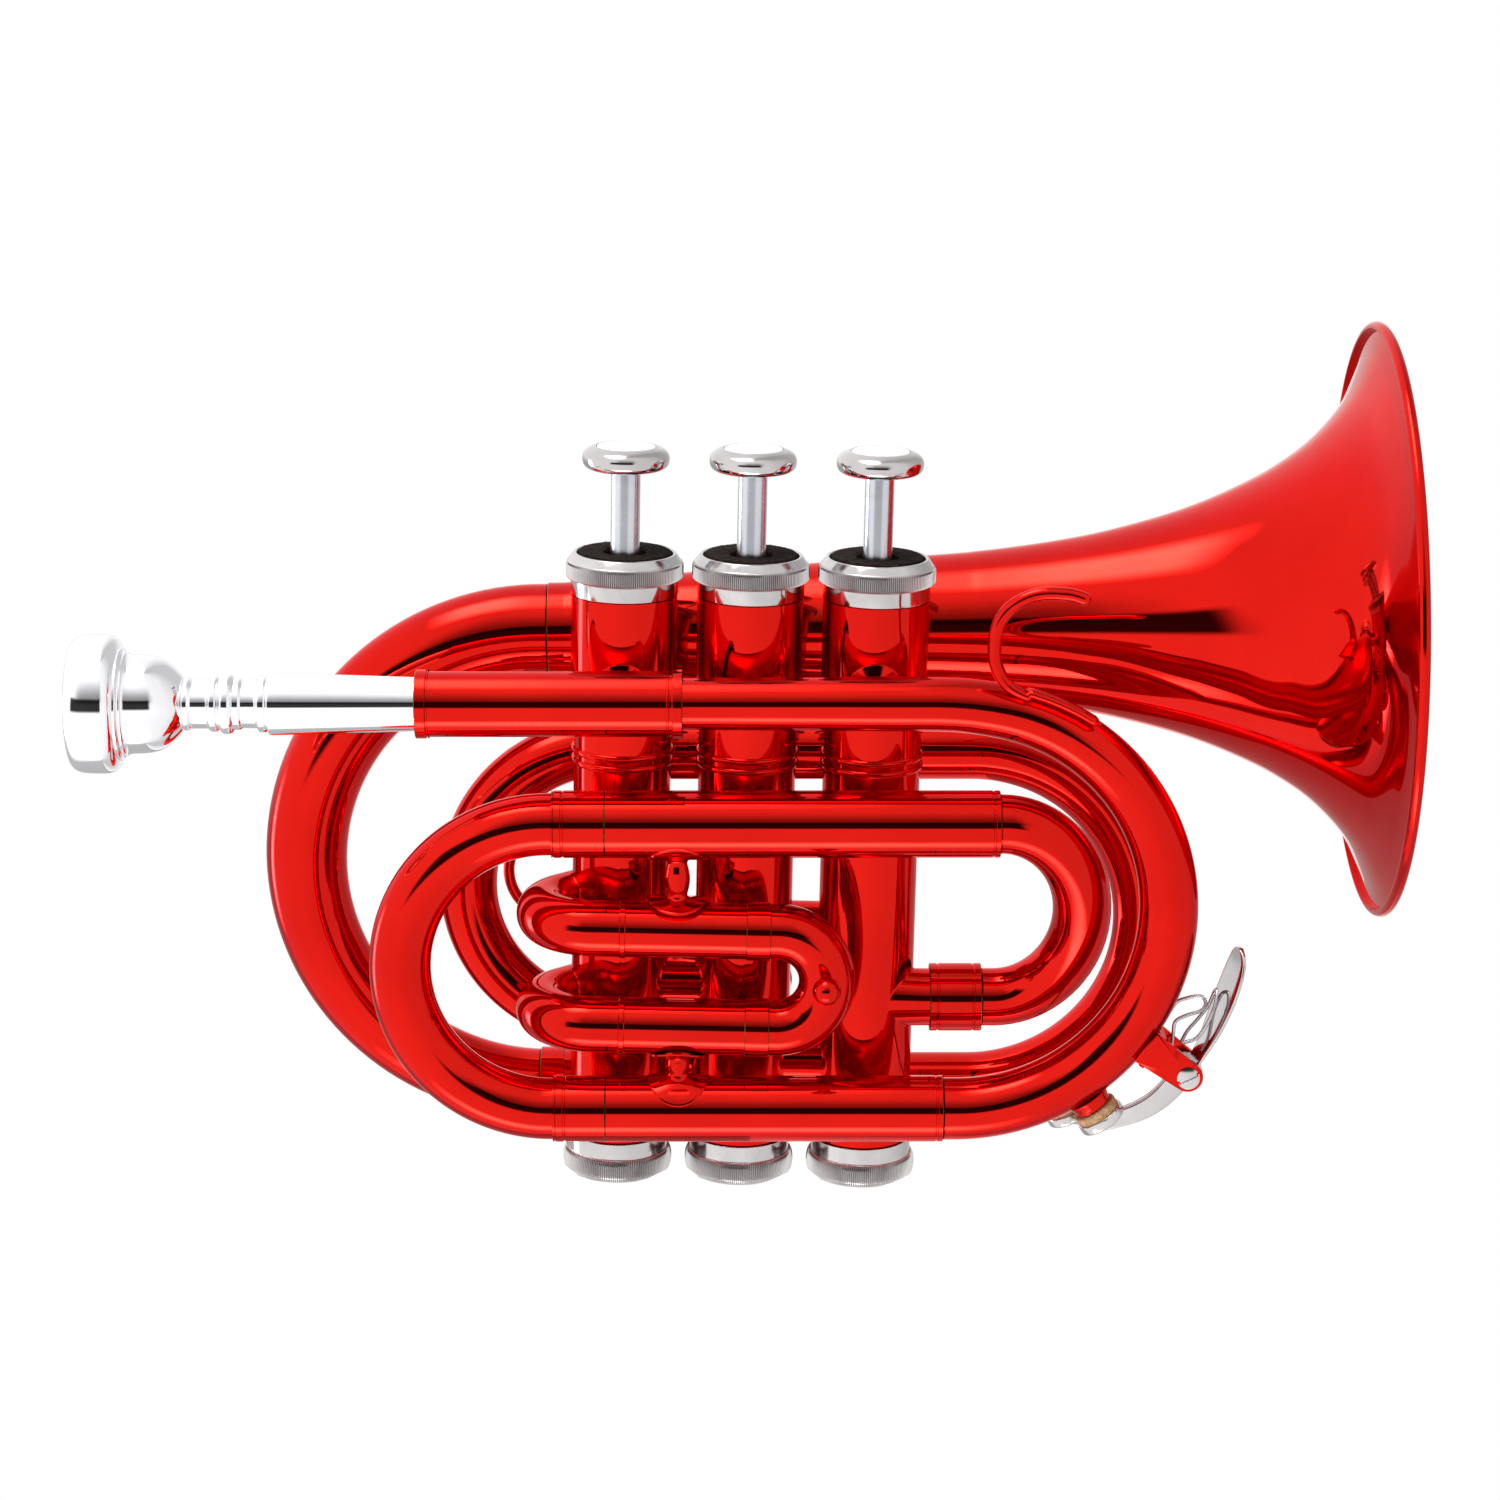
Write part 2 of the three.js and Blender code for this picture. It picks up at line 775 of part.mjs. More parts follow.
function wireAlong(curve, radius, steps, sides) {
  const options = { steps, bevelEnabled: false, extrudePath: curve };
  return new THREE.ExtrudeGeometry(wireSection(radius, sides), options);
}

function valveSpring() {
  const low = guideSeat + guideThickness + gap + springWire;
  const high = barrelTop - barrelTopPlate - 2 * gap - barrelWall - springWire;
  const coil = new Coil(springRadius, low, high, springTurns);
  return wireAlong(coil, springWire, springTurns * springStepsPerTurn, rodSides / 2);
}

for (const number of valveNumbers) {
  const place = (geometry) => geometry.translate(valveX(number), 0, 0);
  addPiece(valveRow, `valve_casing_${number}`, casing(number), lacquer);
  addPiece(valveRow, `bottom_cap_${number}`, place(footCap()), nickel);
  addPiece(valveRow, `top_cap_${number}`, place(topCap()), nickel);
  addPiece(valveRow, `cap_felt_${number}`, place(capFelt()), blackFelt);
  addPiece(valveRow, `piston_${number}`, piston(number), nickel);
  addPiece(valveRow, `valve_guide_${number}`, place(valveGuide()), nylon);
  addPiece(valveRow, `valve_spring_${number}`, place(valveSpring()), springSteel);
  addPiece(valveRow, `valve_stem_${number}`, place(valveStem()), nickel);
  addPiece(valveRow, `finger_button_${number}`, place(fingerButton()), nickel);
}

// Knuckles: short tubes that carry the air from one casing to the next
function knuckle(left, right, height) {
  const start = at(valveX(left), 0, height);
  const run = new TubeRun(start, axisX, entryTubeRadius, portBore).straight(valvePitch);
  return cut(run.body(axisZ), casingEnvelope(left, gap), casingEnvelope(right, gap));
}

addPiece(valveRow, 'knuckle_1_2', knuckle(1, 2, knuckleHeights.left), lacquer);
addPiece(valveRow, 'knuckle_2_3', knuckle(2, 3, knuckleHeights.right), lacquer);

// First valve slide: each sleeve leaves the casing on the left, turns round to the
// front in a tight elbow and runs right, square to the valves
function firstSleeve(height) {
  const bore = firstLegRadius + gap;
  const elbowRadius = -frontPlaneY / 2;
  const ringStart = firstRingX - firstElbowX;
  const afterRing = firstSleeveEndX - firstRingX - firstRingWidth;
  const sleeve = new TubeRun(at(firstElbowX, 0, height), axisX.clone().negate(), firstSlideRadius, bore)
    .bend(axisZ, elbowRadius, 180, bowSteps)
    .straight(ringStart)
    .band(firstRingWidth, firstSlideRadius + gap)
    .straight(afterRing)
    .body(axisZ, tubeSides, tubeSides);
  return cut(sleeve, casingEnvelope(1, gap));
}

addPiece(valveRow, 'first_slide_sleeve_upper', firstSleeve(firstUpperHeight), lacquer);
addPiece(valveRow, 'first_slide_sleeve_lower', firstSleeve(firstLowerHeight), lacquer);

// A slide crook: two inner legs, two ferrules that meet the sleeves, and the bow
function crook(start, heading, turnAxis, size) {
  const half = size.spread / 2;
  return new TubeRun(start, heading, size.leg, size.leg - slideWall)
    .straight(size.legLength)
    .step(size.ferrule)
    .straight(size.ferruleLength)
    .step(size.bow)
    .straight(size.beforeBow)
    .bend(turnAxis, half, 180, bowSteps)
    .straight(size.beforeBow)
    .step(size.ferrule)
    .straight(size.ferruleLength)
    .step(size.leg)
    .straight(size.legLength)
    .body(turnAxis);
}

const firstCrook = crook(
  at(firstSleeveEndX + gap - firstLegLength, frontPlaneY, firstUpperHeight),
  axisX,
  axisY,
  {
    spread: firstUpperHeight - firstLowerHeight,
    leg: firstLegRadius,
    ferrule: firstSlideRadius + gap,
    bow: firstSlideRadius,
    legLength: firstLegLength,
    ferruleLength: firstFerruleLength,
    beforeBow: firstCrookX - firstSleeveEndX - firstFerruleLength - gap,
  },
);
const crookApexX = firstCrookX + (firstUpperHeight - firstLowerHeight) / 2;
const crookMiddle = (firstUpperHeight + firstLowerHeight) / 2;
const knobTop = frontPlaneY - firstSlideRadius - knobStandoff;
const knobNeck = rod(
  at(crookApexX, frontPlaneY - firstLegRadius, crookMiddle),
  at(crookApexX, knobTop, crookMiddle),
  knobNeckRadius,
  rodSides,
);
const knobBall = new THREE.SphereGeometry(knobRadius, tubeSides, rodSides)
  .translate(crookApexX, knobTop, crookMiddle);
addPiece(valveRow, 'first_slide', join(firstCrook, knobNeck, knobBall), lacquer);

// The second slide's crook closes its two sleeves
const secondSpread = at(2 * secondHalfSpreadX, 0, secondUpperHeight - secondLowerHeight);

const secondCrook = crook(
  at(-secondHalfSpreadX, secondSleeveEndY + gap - secondLegLength, secondLowerHeight),
  axisY,
  axisY.clone().cross(secondSpread),
  {
    spread: secondSpread.length(),
    leg: secondLegRadius,
    ferrule: secondRadius + gap,
    bow: secondRadius,
    legLength: secondLegLength,
    ferruleLength: secondFerruleLength,
    beforeBow: secondCrookY - secondSleeveEndY - secondFerruleLength - gap,
  },
);
addPiece(valveRow, 'second_slide', secondCrook, lacquer);

// Third valve slide: sleeves leave the back of the casing, turn left and run behind
// the valves; the finger ring stands on the end of the crook
function thirdSleeve(height) {
  const bore = thirdLegRadius + gap;
  const turnX = valveX(3);
  const sleeve = new TubeRun(at(turnX, 0, height), axisY, thirdRadius, bore)
    .straight(thirdPlaneY - thirdElbowRadius)
    .bend(axisZ, thirdElbowRadius, 90, elbowSteps)
    .straight(turnX - thirdElbowRadius - thirdSleeveEndX - firstRingWidth)
    .step(thirdRadius + gap)
    .straight(firstRingWidth)
    .body(axisZ, tubeSides, tubeSides);
  return cut(sleeve, casingEnvelope(3, gap));
}

const thirdHalf = (thirdUpperHeight - thirdLowerHeight) / 2;
const thirdMiddle = (thirdUpperHeight + thirdLowerHeight) / 2;
const thirdCrook = crook(
  at(thirdSleeveEndX - gap + thirdLegLength, thirdPlaneY, thirdUpperHeight),
  axisX.clone().negate(),
  axisY.clone().negate(),
  {
    spread: 2 * thirdHalf,
    leg: thirdLegRadius,
    ferrule: thirdRadius,
    bow: thirdLegRadius + gap,
    legLength: thirdLegLength,
    ferruleLength: thirdFerruleLength,
    beforeBow: thirdSleeveEndX - thirdFerruleLength - gap - thirdCrookX,
  },
);
const ringX = thirdCrookX - thirdHalf - thirdLegRadius - fingerRingStem - fingerRingRadius;
const fingerRing = new THREE.TorusGeometry(fingerRingRadius, fingerRingWire, 6, fingerRingSteps)
  .rotateX(radians(90))
  .translate(ringX, thirdPlaneY, thirdMiddle);
const ringFoot = rod(
  at(thirdCrookX - thirdHalf - thirdLegRadius / 2, thirdPlaneY, thirdMiddle),
  at(ringX + fingerRingRadius, thirdPlaneY, thirdMiddle),
  2 * fingerRingWire,
  rodSides,
);
addPiece(valveRow, 'third_slide_sleeve_upper', thirdSleeve(thirdUpperHeight), lacquer);
addPiece(valveRow, 'third_slide_sleeve_lower', thirdSleeve(thirdLowerHeight), lacquer);
addPiece(valveRow, 'third_slide', join(thirdCrook, fingerRing, ringFoot), lacquer);

// Mouthpiece: rim, cup, throat, two turned rings and the tapered shank. Stations
// are shares of its length, radii are shares of the rim radius.
const mouthpieceLength = receiverMouthX - mouthpieceRimX + shankDepth;
const mouthpieceShares = [
  [0.0, 0.84], [0.014, 0.914], [0.036, 0.995], [0.08, 1.0], [0.104, 0.966], [0.115, 0.82],
  [0.137, 0.724], [0.215, 0.655], [0.238, 0.578], [0.26, 0.457], [0.283, 0.344],
  [0.327, 0.344], [0.35, 0.42], [0.376, 0.42], [0.4, 0.351], [0.436, 0.4], [0.457, 0.41],
  [0.466, 0.446],
];

function mouthpiece() {
  const outside = mouthpieceShares.map(([along, across]) => [
    across * mouthpieceRimRadius,
    along * mouthpieceLength,
  ]);
  const rimInner = cupRadius + (mouthpieceRimRadius - cupRadius) / 4;
  const shape = turned([
    [rimInner, 0],
    ...outside,
    [shankMouthRadius, mouthpieceLength - shankDepth],
    [shankTipRadius, mouthpieceLength],
    [shankTipRadius - slideWall, mouthpieceLength],
    [shankBoreRadius, cupDepth * 2],
    [shankBoreRadius, cupDepth],
    [cupRadius / 2, cupDepth - shankBoreRadius],
    [cupRadius * 0.85, cupDepth / 2],
    [cupRadius, cupDepth / 8],
  ], capSides);
  return aimed(shape, at(mouthpieceRimX, frontPlaneY, leadpipeHeight), axisX);
}

addPiece(trumpet, 'mouthpiece', mouthpiece(), silver);

// Receiver: the tapered socket for the mouthpiece, beaded at both ends
const leadpipeSocketX = receiverEndX - socketDepth;
const receiverStart = at(receiverMouthX, frontPlaneY, leadpipeHeight);
const receiver = new TubeRun(receiverStart, axisX, receiverBeadRadius, shankMouthRadius + gap)
  .straight(receiverBeadWidth)
  .step(receiverRadius)
  .straight(shankDepth - receiverBeadWidth, receiverRadius, shankTipRadius + gap)
  .straight(leadpipeSocketX - gap - receiverMouthX - shankDepth)
  .step(receiverRadius, leadpipeStartRadius + 1.5 * gap)
  .straight(socketDepth + gap - receiverBeadWidth)
  .step(receiverBeadRadius)
  .straight(receiverBeadWidth);
addPiece(trumpet, 'mouthpiece_receiver', receiver.body(axisZ, capSides, capSides), lacquer);

// Leadpipe: straight out of the receiver, a gentle start to the bend, then the
// large bow down to the lower sleeve, widening all the way
const easeDrop = easeRadius * (1 - Math.cos(radians(easeAngle)));
const bowDrop = leadpipeHeight - lowerLegHeight - easeDrop;
const leadpipeBendRadius = bowDrop / (1 + Math.cos(radians(easeAngle)));
const leadpipeBowX = leadpipeStraightEndX
  + (easeRadius - leadpipeBendRadius) * Math.sin(radians(easeAngle));
const leadpipeBowHeight = lowerLegHeight + leadpipeBendRadius;

function leadpipeRun(margin) {
  const bore = leadpipeStartRadius - leadpipeWall;
  const start = at(leadpipeSocketX, frontPlaneY, leadpipeHeight);
  return new TubeRun(start, axisX, leadpipeStartRadius + margin, bore)
    .straight(leadpipeStraightEndX - leadpipeSocketX, leadpipeBowRadius + margin)
    .bend(axisY, easeRadius, easeAngle, 2)
    .bend(
      axisY,
      leadpipeBendRadius,
      180 - easeAngle,
      bowSteps + 2,
      leadpipeEndRadius + margin,
      leadpipeEndRadius - 2 * leadpipeWall,
    );
}

const leadpipe = leadpipeRun(0)
  .straight(leadpipeBowX - lowerSleeveRightX - gap)
  .step(slideLegRadius, slideLegRadius - slideWall)
  .straight(socketDepth)
  .body(axisY);

// A place on the outside of the leadpipe bow, at an angle below the bow's centre line
function onLeadpipeBow(angle, standoff) {
  const reach = leadpipeBendRadius + standoff;
  return at(
    leadpipeBowX + reach * Math.cos(radians(angle)),
    frontPlaneY,
    leadpipeBowHeight + reach * Math.sin(radians(angle)),
  );
}

// Nipples for the water key are soldered to the tubes, with the drain hole through
function nipple(seat, tip, boreRadius) {
  const run = tip.clone().sub(seat);
  return new TubeRun(seat, run, keyNippleRadius, boreRadius)
    .straight(run.length())
    .body(axisY, tubeSides);
}

const frontSurface = leadpipeEndRadius - gap / 2;
const frontNipple = nipple(
  onLeadpipeBow(keyAngle, leadpipeEndRadius - 2 * leadpipeWall),
  onLeadpipeBow(keyAngle, frontSurface + keyNippleHeight),
  keyNippleBore,
);
addPiece(trumpet, 'leadpipe', join(leadpipe, frontNipple), lacquer);

// Outer sleeves of the tuning slide, with a turned ring at the fixed end
function tuningSleeve(leftX, rightX, height) {
  const bore = slideLegRadius + gap;
  return new TubeRun(at(leftX, frontPlaneY, height), axisX, sleeveRadius, bore)
    .straight(rightX - leftX - sleeveRingWidth)
    .step(sleeveRingRadius)
    .straight(sleeveRingWidth)
    .body(axisZ, tubeSides, tubeSides);
}

addPiece(
  trumpet,
  'tuning_sleeve_upper',
  tuningSleeve(upperSleeveLeftX, upperSleeveRightX, upperLegHeight),
  lacquer,
);
addPiece(
  trumpet,
  'tuning_sleeve_lower',
  tuningSleeve(lowerSleeveLeftX, lowerSleeveRightX, lowerLegHeight),
  lacquer,
);

// Main tuning slide: legs, ferrules with an end ring, and the large left bow
const tuningStartX = upperSleeveLeftX - gap + tuningLegLength;
const tuningSlide = new TubeRun(
  at(tuningStartX, frontPlaneY, upperLegHeight),
  axisX.clone().negate(),
  slideLegRadius,
  slideLegRadius - slideWall,
)
  .straight(tuningLegLength)
  .step(sleeveRadius)
  .straight(tuningFerruleLength)
  .band(tuningFerruleRingWidth, sleeveRingRadius)
  .step(tuningBowRadius)
  .straight(upperSleeveLeftX - gap - tuningFerruleLength - tuningFerruleRingWidth - tuningBowX)
  .bend(axisY.clone().negate(), (upperLegHeight - lowerLegHeight) / 2, 180, bowSteps)
  .straight(lowerSleeveLeftX - gap - tuningFerruleLength - tuningFerruleRingWidth - tuningBowX)
  .step(sleeveRingRadius)
  .straight(tuningFerruleRingWidth)
  .step(sleeveRadius)
  .straight(tuningFerruleLength)
  .step(slideLegRadius)
  .straight(tuningLegLength)
  .body(axisY);
addPiece(trumpet, 'tuning_slide', tuningSlide, lacquer);

// Return bow: half an ellipse that leans back from the front plane to the third
// valve's port. A quarter ellipse is a cubic curve between two tangent points.
const quarterShare = (4 / 3) * (Math.SQRT2 - 1);

function quarterEllipse(start, corner, end) {
  const leaving = start.clone().lerp(corner, quarterShare);
  const arriving = end.clone().lerp(corner, quarterShare);
  return new THREE.CubicBezierCurve3(start, leaving, arriving, end);
}

const returnSpigot = slideLegRadius - gap / 2;
const returnBowX = upperSleeveRightX + gap;
const returnFarX = returnBowX + returnReach;
const entryPlaneY = casingBore * Math.sin(radians(entryPortAngle));
const returnMiddle = at(
  returnFarX,
  (frontPlaneY + entryPlaneY) / 2,
  (upperLegHeight + entryHeight) / 2,
);
const returnUpperQuarter = quarterEllipse(
  at(returnBowX, frontPlaneY, upperLegHeight),
  at(returnFarX, frontPlaneY, upperLegHeight),
  returnMiddle,
);
const returnLowerQuarter = quarterEllipse(
  returnMiddle,
  at(returnFarX, entryPlaneY, entryHeight),
  at(returnBowX, entryPlaneY, entryHeight),
);
const returnBow = new TubeRun(
  at(returnBowX - socketDepth, frontPlaneY, upperLegHeight),
  axisX,
  returnSpigot,
  returnSpigot - slideWall,
)
  .straight(socketDepth)
  .step(returnBowRadius)
  .along(returnUpperQuarter, bowSteps / 2)
  .along(returnLowerQuarter, bowSteps / 2)
  .straight(returnBowX - entryFerruleRightX - gap)
  .step(returnSpigot)
  .straight(socketDepth - gap)
  .body(axisY);
addPiece(trumpet, 'return_bow', returnBow, lacquer);

// Entry elbow: a ferrule, and a short tube that meets the third valve's wall off
// the middle, over its port
const entryFerrule = new TubeRun(
  at(entryFerruleRightX, entryPlaneY, entryHeight),
  axisX.clone().negate(),
  entryRingRadius,
  returnSpigot + gap,
)
  .straight(sleeveRingWidth)
  .step(entryFerruleRadius)
  .straight(entryFerruleRightX - entryFerruleLeftX - 2 * sleeveRingWidth)
  .step(entryRingRadius)
  .straight(sleeveRingWidth);
const entryTubeEnd = entryFerruleRightX - socketDepth;
const entryTube = new TubeRun(
  at(entryTubeEnd, entryPlaneY, entryHeight),
  axisX.clone().negate(),
  entryTubeRadius,
  portBore,
)
  .straight(entryTubeEnd - valveX(3));
const entryElbow = cut(
  join(entryFerrule.filled(skinOf, axisZ), entryTube.filled(skinOf, axisZ)),
  entryTube.filled(airOf, axisZ, tubeSides),
  tubeCore(
    at(entryTubeEnd - gap, entryPlaneY, entryHeight),
    at(entryFerruleRightX + overrun, entryPlaneY, entryHeight),
    returnSpigot + gap,
  ),
  casingInPlace(3, gap),
);
addPiece(trumpet, 'entry_elbow', entryElbow, lacquer);

// Bell: the flare is a turned shell. Stations are shares of the bell's length,
// radii are shares of the rim radius.
const bellLength = bellRimX - bellSmallX;
const bellAxis = at(Math.cos(radians(bellRiseAngle)), 0, Math.sin(radians(bellRiseAngle)));

function onBellAxis(x) {
  const rise = (x - bellGaugeX) * Math.tan(radians(bellRiseAngle));
  return at(x, bellPlaneY, bellHeight + rise);
}

const bellStart = onBellAxis(bellSmallX);
const bellShares = [
  [0.0, 0.1544], [0.465, 0.24], [0.57, 0.267], [0.67, 0.3155], [0.77, 0.397], [0.82, 0.451],
  [0.867, 0.515], [0.91, 0.594], [0.945, 0.69], [0.972, 0.8], [0.99, 0.92],
];

function bellOutside(margin) {
  return bellShares.map(([along, across]) => new THREE.Vector2(
    across * bellRimRadius + margin,
    along * bellLength,
  ));
}

function bell() {
  const rimCentre = bellRimRadius - bellRimBead;
  const outside = bellOutside(0);
  outside.push(new THREE.Vector2(rimCentre - bellRimBead / 2, bellLength - 2 * bellRimBead));
  const inside = outside.map((point, i) => {
    const before = outside[Math.max(i - 1, 0)];
    const after = outside[Math.min(i + 1, outside.length - 1)];
    const along = after.clone().sub(before).normalize();
    return new THREE.Vector2(point.x - bellWall * along.y, point.y + bellWall * along.x);
  });
  inside[0].y = 0;
  const bead = Array.from({ length: beadCorners }, (unused, k) => {
    const angle = (Math.PI * (k - 1)) / (beadCorners - 1);
    return [
      rimCentre + bellRimBead * Math.cos(angle),
      bellLength - bellRimBead + bellRimBead * Math.sin(angle),
    ];
  });
  const profile = [
    ...outside.map((point) => [point.x, point.y]),
    ...bead,
    ...inside.reverse().map((point) => [point.x, point.y]),
  ];
  const shape = turned(profile, bellSides);
  return aimed(shape, bellStart, bellAxis);
}

addPiece(trumpet, 'bell', bell(), lacquer);

// Bell bow: the large left loop, tapering down as it comes forward to the wrap plane
const bellSmallRadius = bellShares[0][1] * bellRimRadius;
const bellBowDiameter = onBellAxis(bellBowX).z - wrapLowerHeight;
const bellBow = new TubeRun(
  onBellAxis(bellSmallX - gap),
  bellAxis.clone().negate(),
  bellSmallRadius,
  bellSmallRadius - wrapWall,
)
  .straight((bellSmallX - gap - bellBowX) / bellAxis.x)
  .bend(
    axisY.clone().negate(),
    bellBowDiameter / (1 + bellAxis.x),
    180 - bellRiseAngle,
    bowSteps + 2,
    bellBowEndRadius,
    bellBowEndRadius - wrapWall,
    bellPlaneY - wrapPlaneY,
  );
addPiece(trumpet, 'bell_bow', bellBow.body(axisY), lacquer);

// Bell branch: along under the valves, round the right loop and back behind them,
// with a ferrule over each joint
const branchStartX = bellBow.place.x + gap;
const branchLoopRadius = (wrapUpperHeight - wrapLowerHeight) / 2;
const branchLoopHeight = wrapLowerHeight + branchLoopRadius;
const branch = new TubeRun(
  at(branchStartX, wrapPlaneY, wrapLowerHeight),
  axisX,
  bellBowEndRadius + ferruleRise,
  bellBowEndRadius - wrapWall,
)
  .straight(ferruleWidth)
  .step(bellBowEndRadius)
  .straight(branchBowX - branchStartX - ferruleWidth, branchMidRadius, branchMidRadius - wrapWall)
  .bend(axisY.clone().negate(), branchLoopRadius, 180, bowSteps + 2)
  .straight(branchBowX - branchEndX - ferruleWidth, branchEndRadius, branchEndRadius - wrapWall)
  .step(branchEndRadius + ferruleRise)
  .straight(ferruleWidth)
  .body(axisY);

function onBranchLoop(angle, standoff) {
  const reach = branchLoopRadius + standoff;
  return at(
    branchBowX + reach * Math.cos(radians(angle)),
    wrapPlaneY,
    branchLoopHeight + reach * Math.sin(radians(angle)),
  );
}

const rearNipple = nipple(
  onBranchLoop(rearKeyAngle, branchMidRadius - wrapWall),
  onBranchLoop(rearKeyAngle, branchMidRadius + keyNippleHeight),
  keyNippleBore,
);
addPiece(trumpet, 'bell_branch', join(branch, rearNipple), lacquer);

// Valve bow: the small left loop that brings the wrap into the first valve
const valveBow = new TubeRun(
  at(branchEndX - gap, wrapPlaneY, wrapUpperHeight),
  axisX.clone().negate(),
  valveBowTubeRadius,
  valveBowTubeRadius - wrapWall,
)
  .straight(branchEndX - gap - valveBowX)
  .bend(
    axisY.clone().negate(),
    valveBowRadius,
    valveBowAngle,
    bowSteps,
    valveBowEndRadius,
    portBore,
    valveBowDrift,
  );
const valveOneFoot = at(valveX(1), 0, valveBowPortHeight).applyMatrix4(valveRow.matrix);
const inward = portDirection(valvePorts[1].toBell).negate();
const valveBowEnd = valveBow.place.clone();
const lead = valveBowEnd.distanceTo(valveOneFoot) / 3;
const entryCurve = new THREE.CubicBezierCurve3(
  valveBowEnd,
  valveBowEnd.clone().addScaledVector(valveBow.heading, lead),
  valveOneFoot.clone().addScaledVector(inward, -lead),
  valveOneFoot,
);
valveBow.along(entryCurve, elbowSteps);
addPiece(trumpet, 'valve_bow', cut(valveBow.body(axisY), casingInPlace(1, gap)), lacquer);

// Finger hook: a bent rod that stands on the front of the leadpipe bow. The free
// part is given as shares of its reach and height above the leadpipe.
const hookShares = [
  [0.87, 0.98], [0.64, 1.06], [0.45, 1.08], [0.22, 0.98], [0.08, 0.75], [0.09, 0.48], [0.22, 0.27],
];

function hook() {
  const plane = frontPlaneY - hookForward;
  const clearance = leadpipeBowRadius + gap + hookRadius + gap;
  const standoff = Math.sqrt(clearance ** 2 - hookForward ** 2);
  const onBow = (angle) => {
    const point = onLeadpipeBow(90 - angle, standoff);
    point.y = plane;
    return point;
  };
  const footAngles = [0, 1 / 3, 2 / 3, 1].map((share) => (
    THREE.MathUtils.lerp(hookFootStartAngle, hookFootEndAngle, share)
  ));
  const foot = footAngles.map(onBow);
  const originX = foot[0].x - hookReach * 0.4;
  const points = hookShares.map(([along, up]) => at(
    originX + along * hookReach,
    plane,
    leadpipeHeight + up * hookHeight,
  ));
  const curve = new THREE.CatmullRomCurve3([...points, ...foot], false, 'centripetal');
  return wireAlong(curve, hookRadius, 26, rodSides);
}

addPiece(trumpet, 'finger_hook', hook(), lacquer);

// Braces: a short post with a saddle flange on each tube it joins
function brace(start, end, postRadius, flangeRadius, ...tubes) {
  const run = end.clone().sub(start);
  const length = run.length();
  const flange = length / 3;
  const body = turned([
    [0, 0],
    [flangeRadius, 0],
    [flangeRadius, flange],
    [postRadius, flange + braceFlangeThickness / 2],
    [postRadius, length - flange - braceFlangeThickness / 2],
    [flangeRadius, length - flange],
    [flangeRadius, length],
    [0, length],
  ], tubeSides);
  return cut(aimed(body, start, run), ...tubes);
}

function tubeEnvelope(start, end, radius) {
  return rod(start, end, radius + gap, tubeSides * 2);
}

const leadpipeEnvelope = tubeEnvelope(
  at(receiverMouthX, frontPlaneY, leadpipeHeight),
  at(leadpipeStraightEndX + overrun, frontPlaneY, leadpipeHeight),
  leadpipeBowRadius,
);
const receiverEnvelope = tubeEnvelope(
  at(receiverMouthX, frontPlaneY, leadpipeHeight),
  at(receiverEndX + overrun, frontPlaneY, leadpipeHeight),
  receiverBeadRadius,
);

function casingUpperInPlace(number) {
  return casingInPlace(number, gap + casingUpperRadius - casingRadius);
}

function leadpipeBrace(number, tube, tubeRadius) {
  const axis = at(valveX(number), 0, leadpipeHeight).applyMatrix4(valveRow.matrix);
  const reachIn = braceFlangeThickness + gap;
  const start = at(axis.x, frontPlaneY + tubeRadius - reachIn, leadpipeHeight);
  const end = at(axis.x, -casingUpperRadius + reachIn, leadpipeHeight);
  return brace(start, end, bracePostRadius, braceFlangeRadius - gap, tube, casingUpperInPlace(number));
}

addPiece(trumpet, 'leadpipe_brace_1', leadpipeBrace(1, receiverEnvelope, receiverRadius), lacquer);
addPiece(trumpet, 'leadpipe_brace_3', leadpipeBrace(3, leadpipeEnvelope, leadpipeBowRadius), lacquer);

// Bell brace: from the back of the middle casing to the bell's throat
const bellBraceHeight = onBellAxis(0).z;
const bellBraceAxis = at(0, 0, bellBraceHeight).applyMatrix4(valveRow.matrix);
const bellEnvelope = aimed(
  turned([
    [0, 0],
    ...bellOutside(gap).map((point) => [point.x, point.y]),
    [0, bellLength],
  ], bellSides),
  bellStart,
  bellAxis,
);
const bellBrace = brace(
  at(bellBraceAxis.x, casingUpperRadius - 2 * braceFlangeThickness, bellBraceHeight),
  at(bellBraceAxis.x, bellPlaneY - bellSmallRadius, bellBraceHeight),
  braceFlangeRadius - gap,
  braceFlangeRadius - gap,
  casingUpperInPlace(2),
  bellEnvelope,
);
addPiece(trumpet, 'bell_brace', bellBrace, lacquer);

const upperSleeveEnvelope = tubeEnvelope(
  at(upperSleeveLeftX, frontPlaneY, upperLegHeight),
  at(upperSleeveRightX, frontPlaneY, upperLegHeight),
  sleeveRadius,
);
const lowerSleeveEnvelope = tubeEnvelope(
  at(lowerSleeveLeftX, frontPlaneY, lowerLegHeight),
  at(lowerSleeveRightX, frontPlaneY, lowerLegHeight),
  sleeveRadius,
);

function firstSleeveEnvelope(height) {
  return tubeEnvelope(
    at(firstElbowX, frontPlaneY, height),
    at(firstSleeveEndX, frontPlaneY, height),
    firstSlideRadius,
  ).applyMatrix4(valveRow.matrix);
}

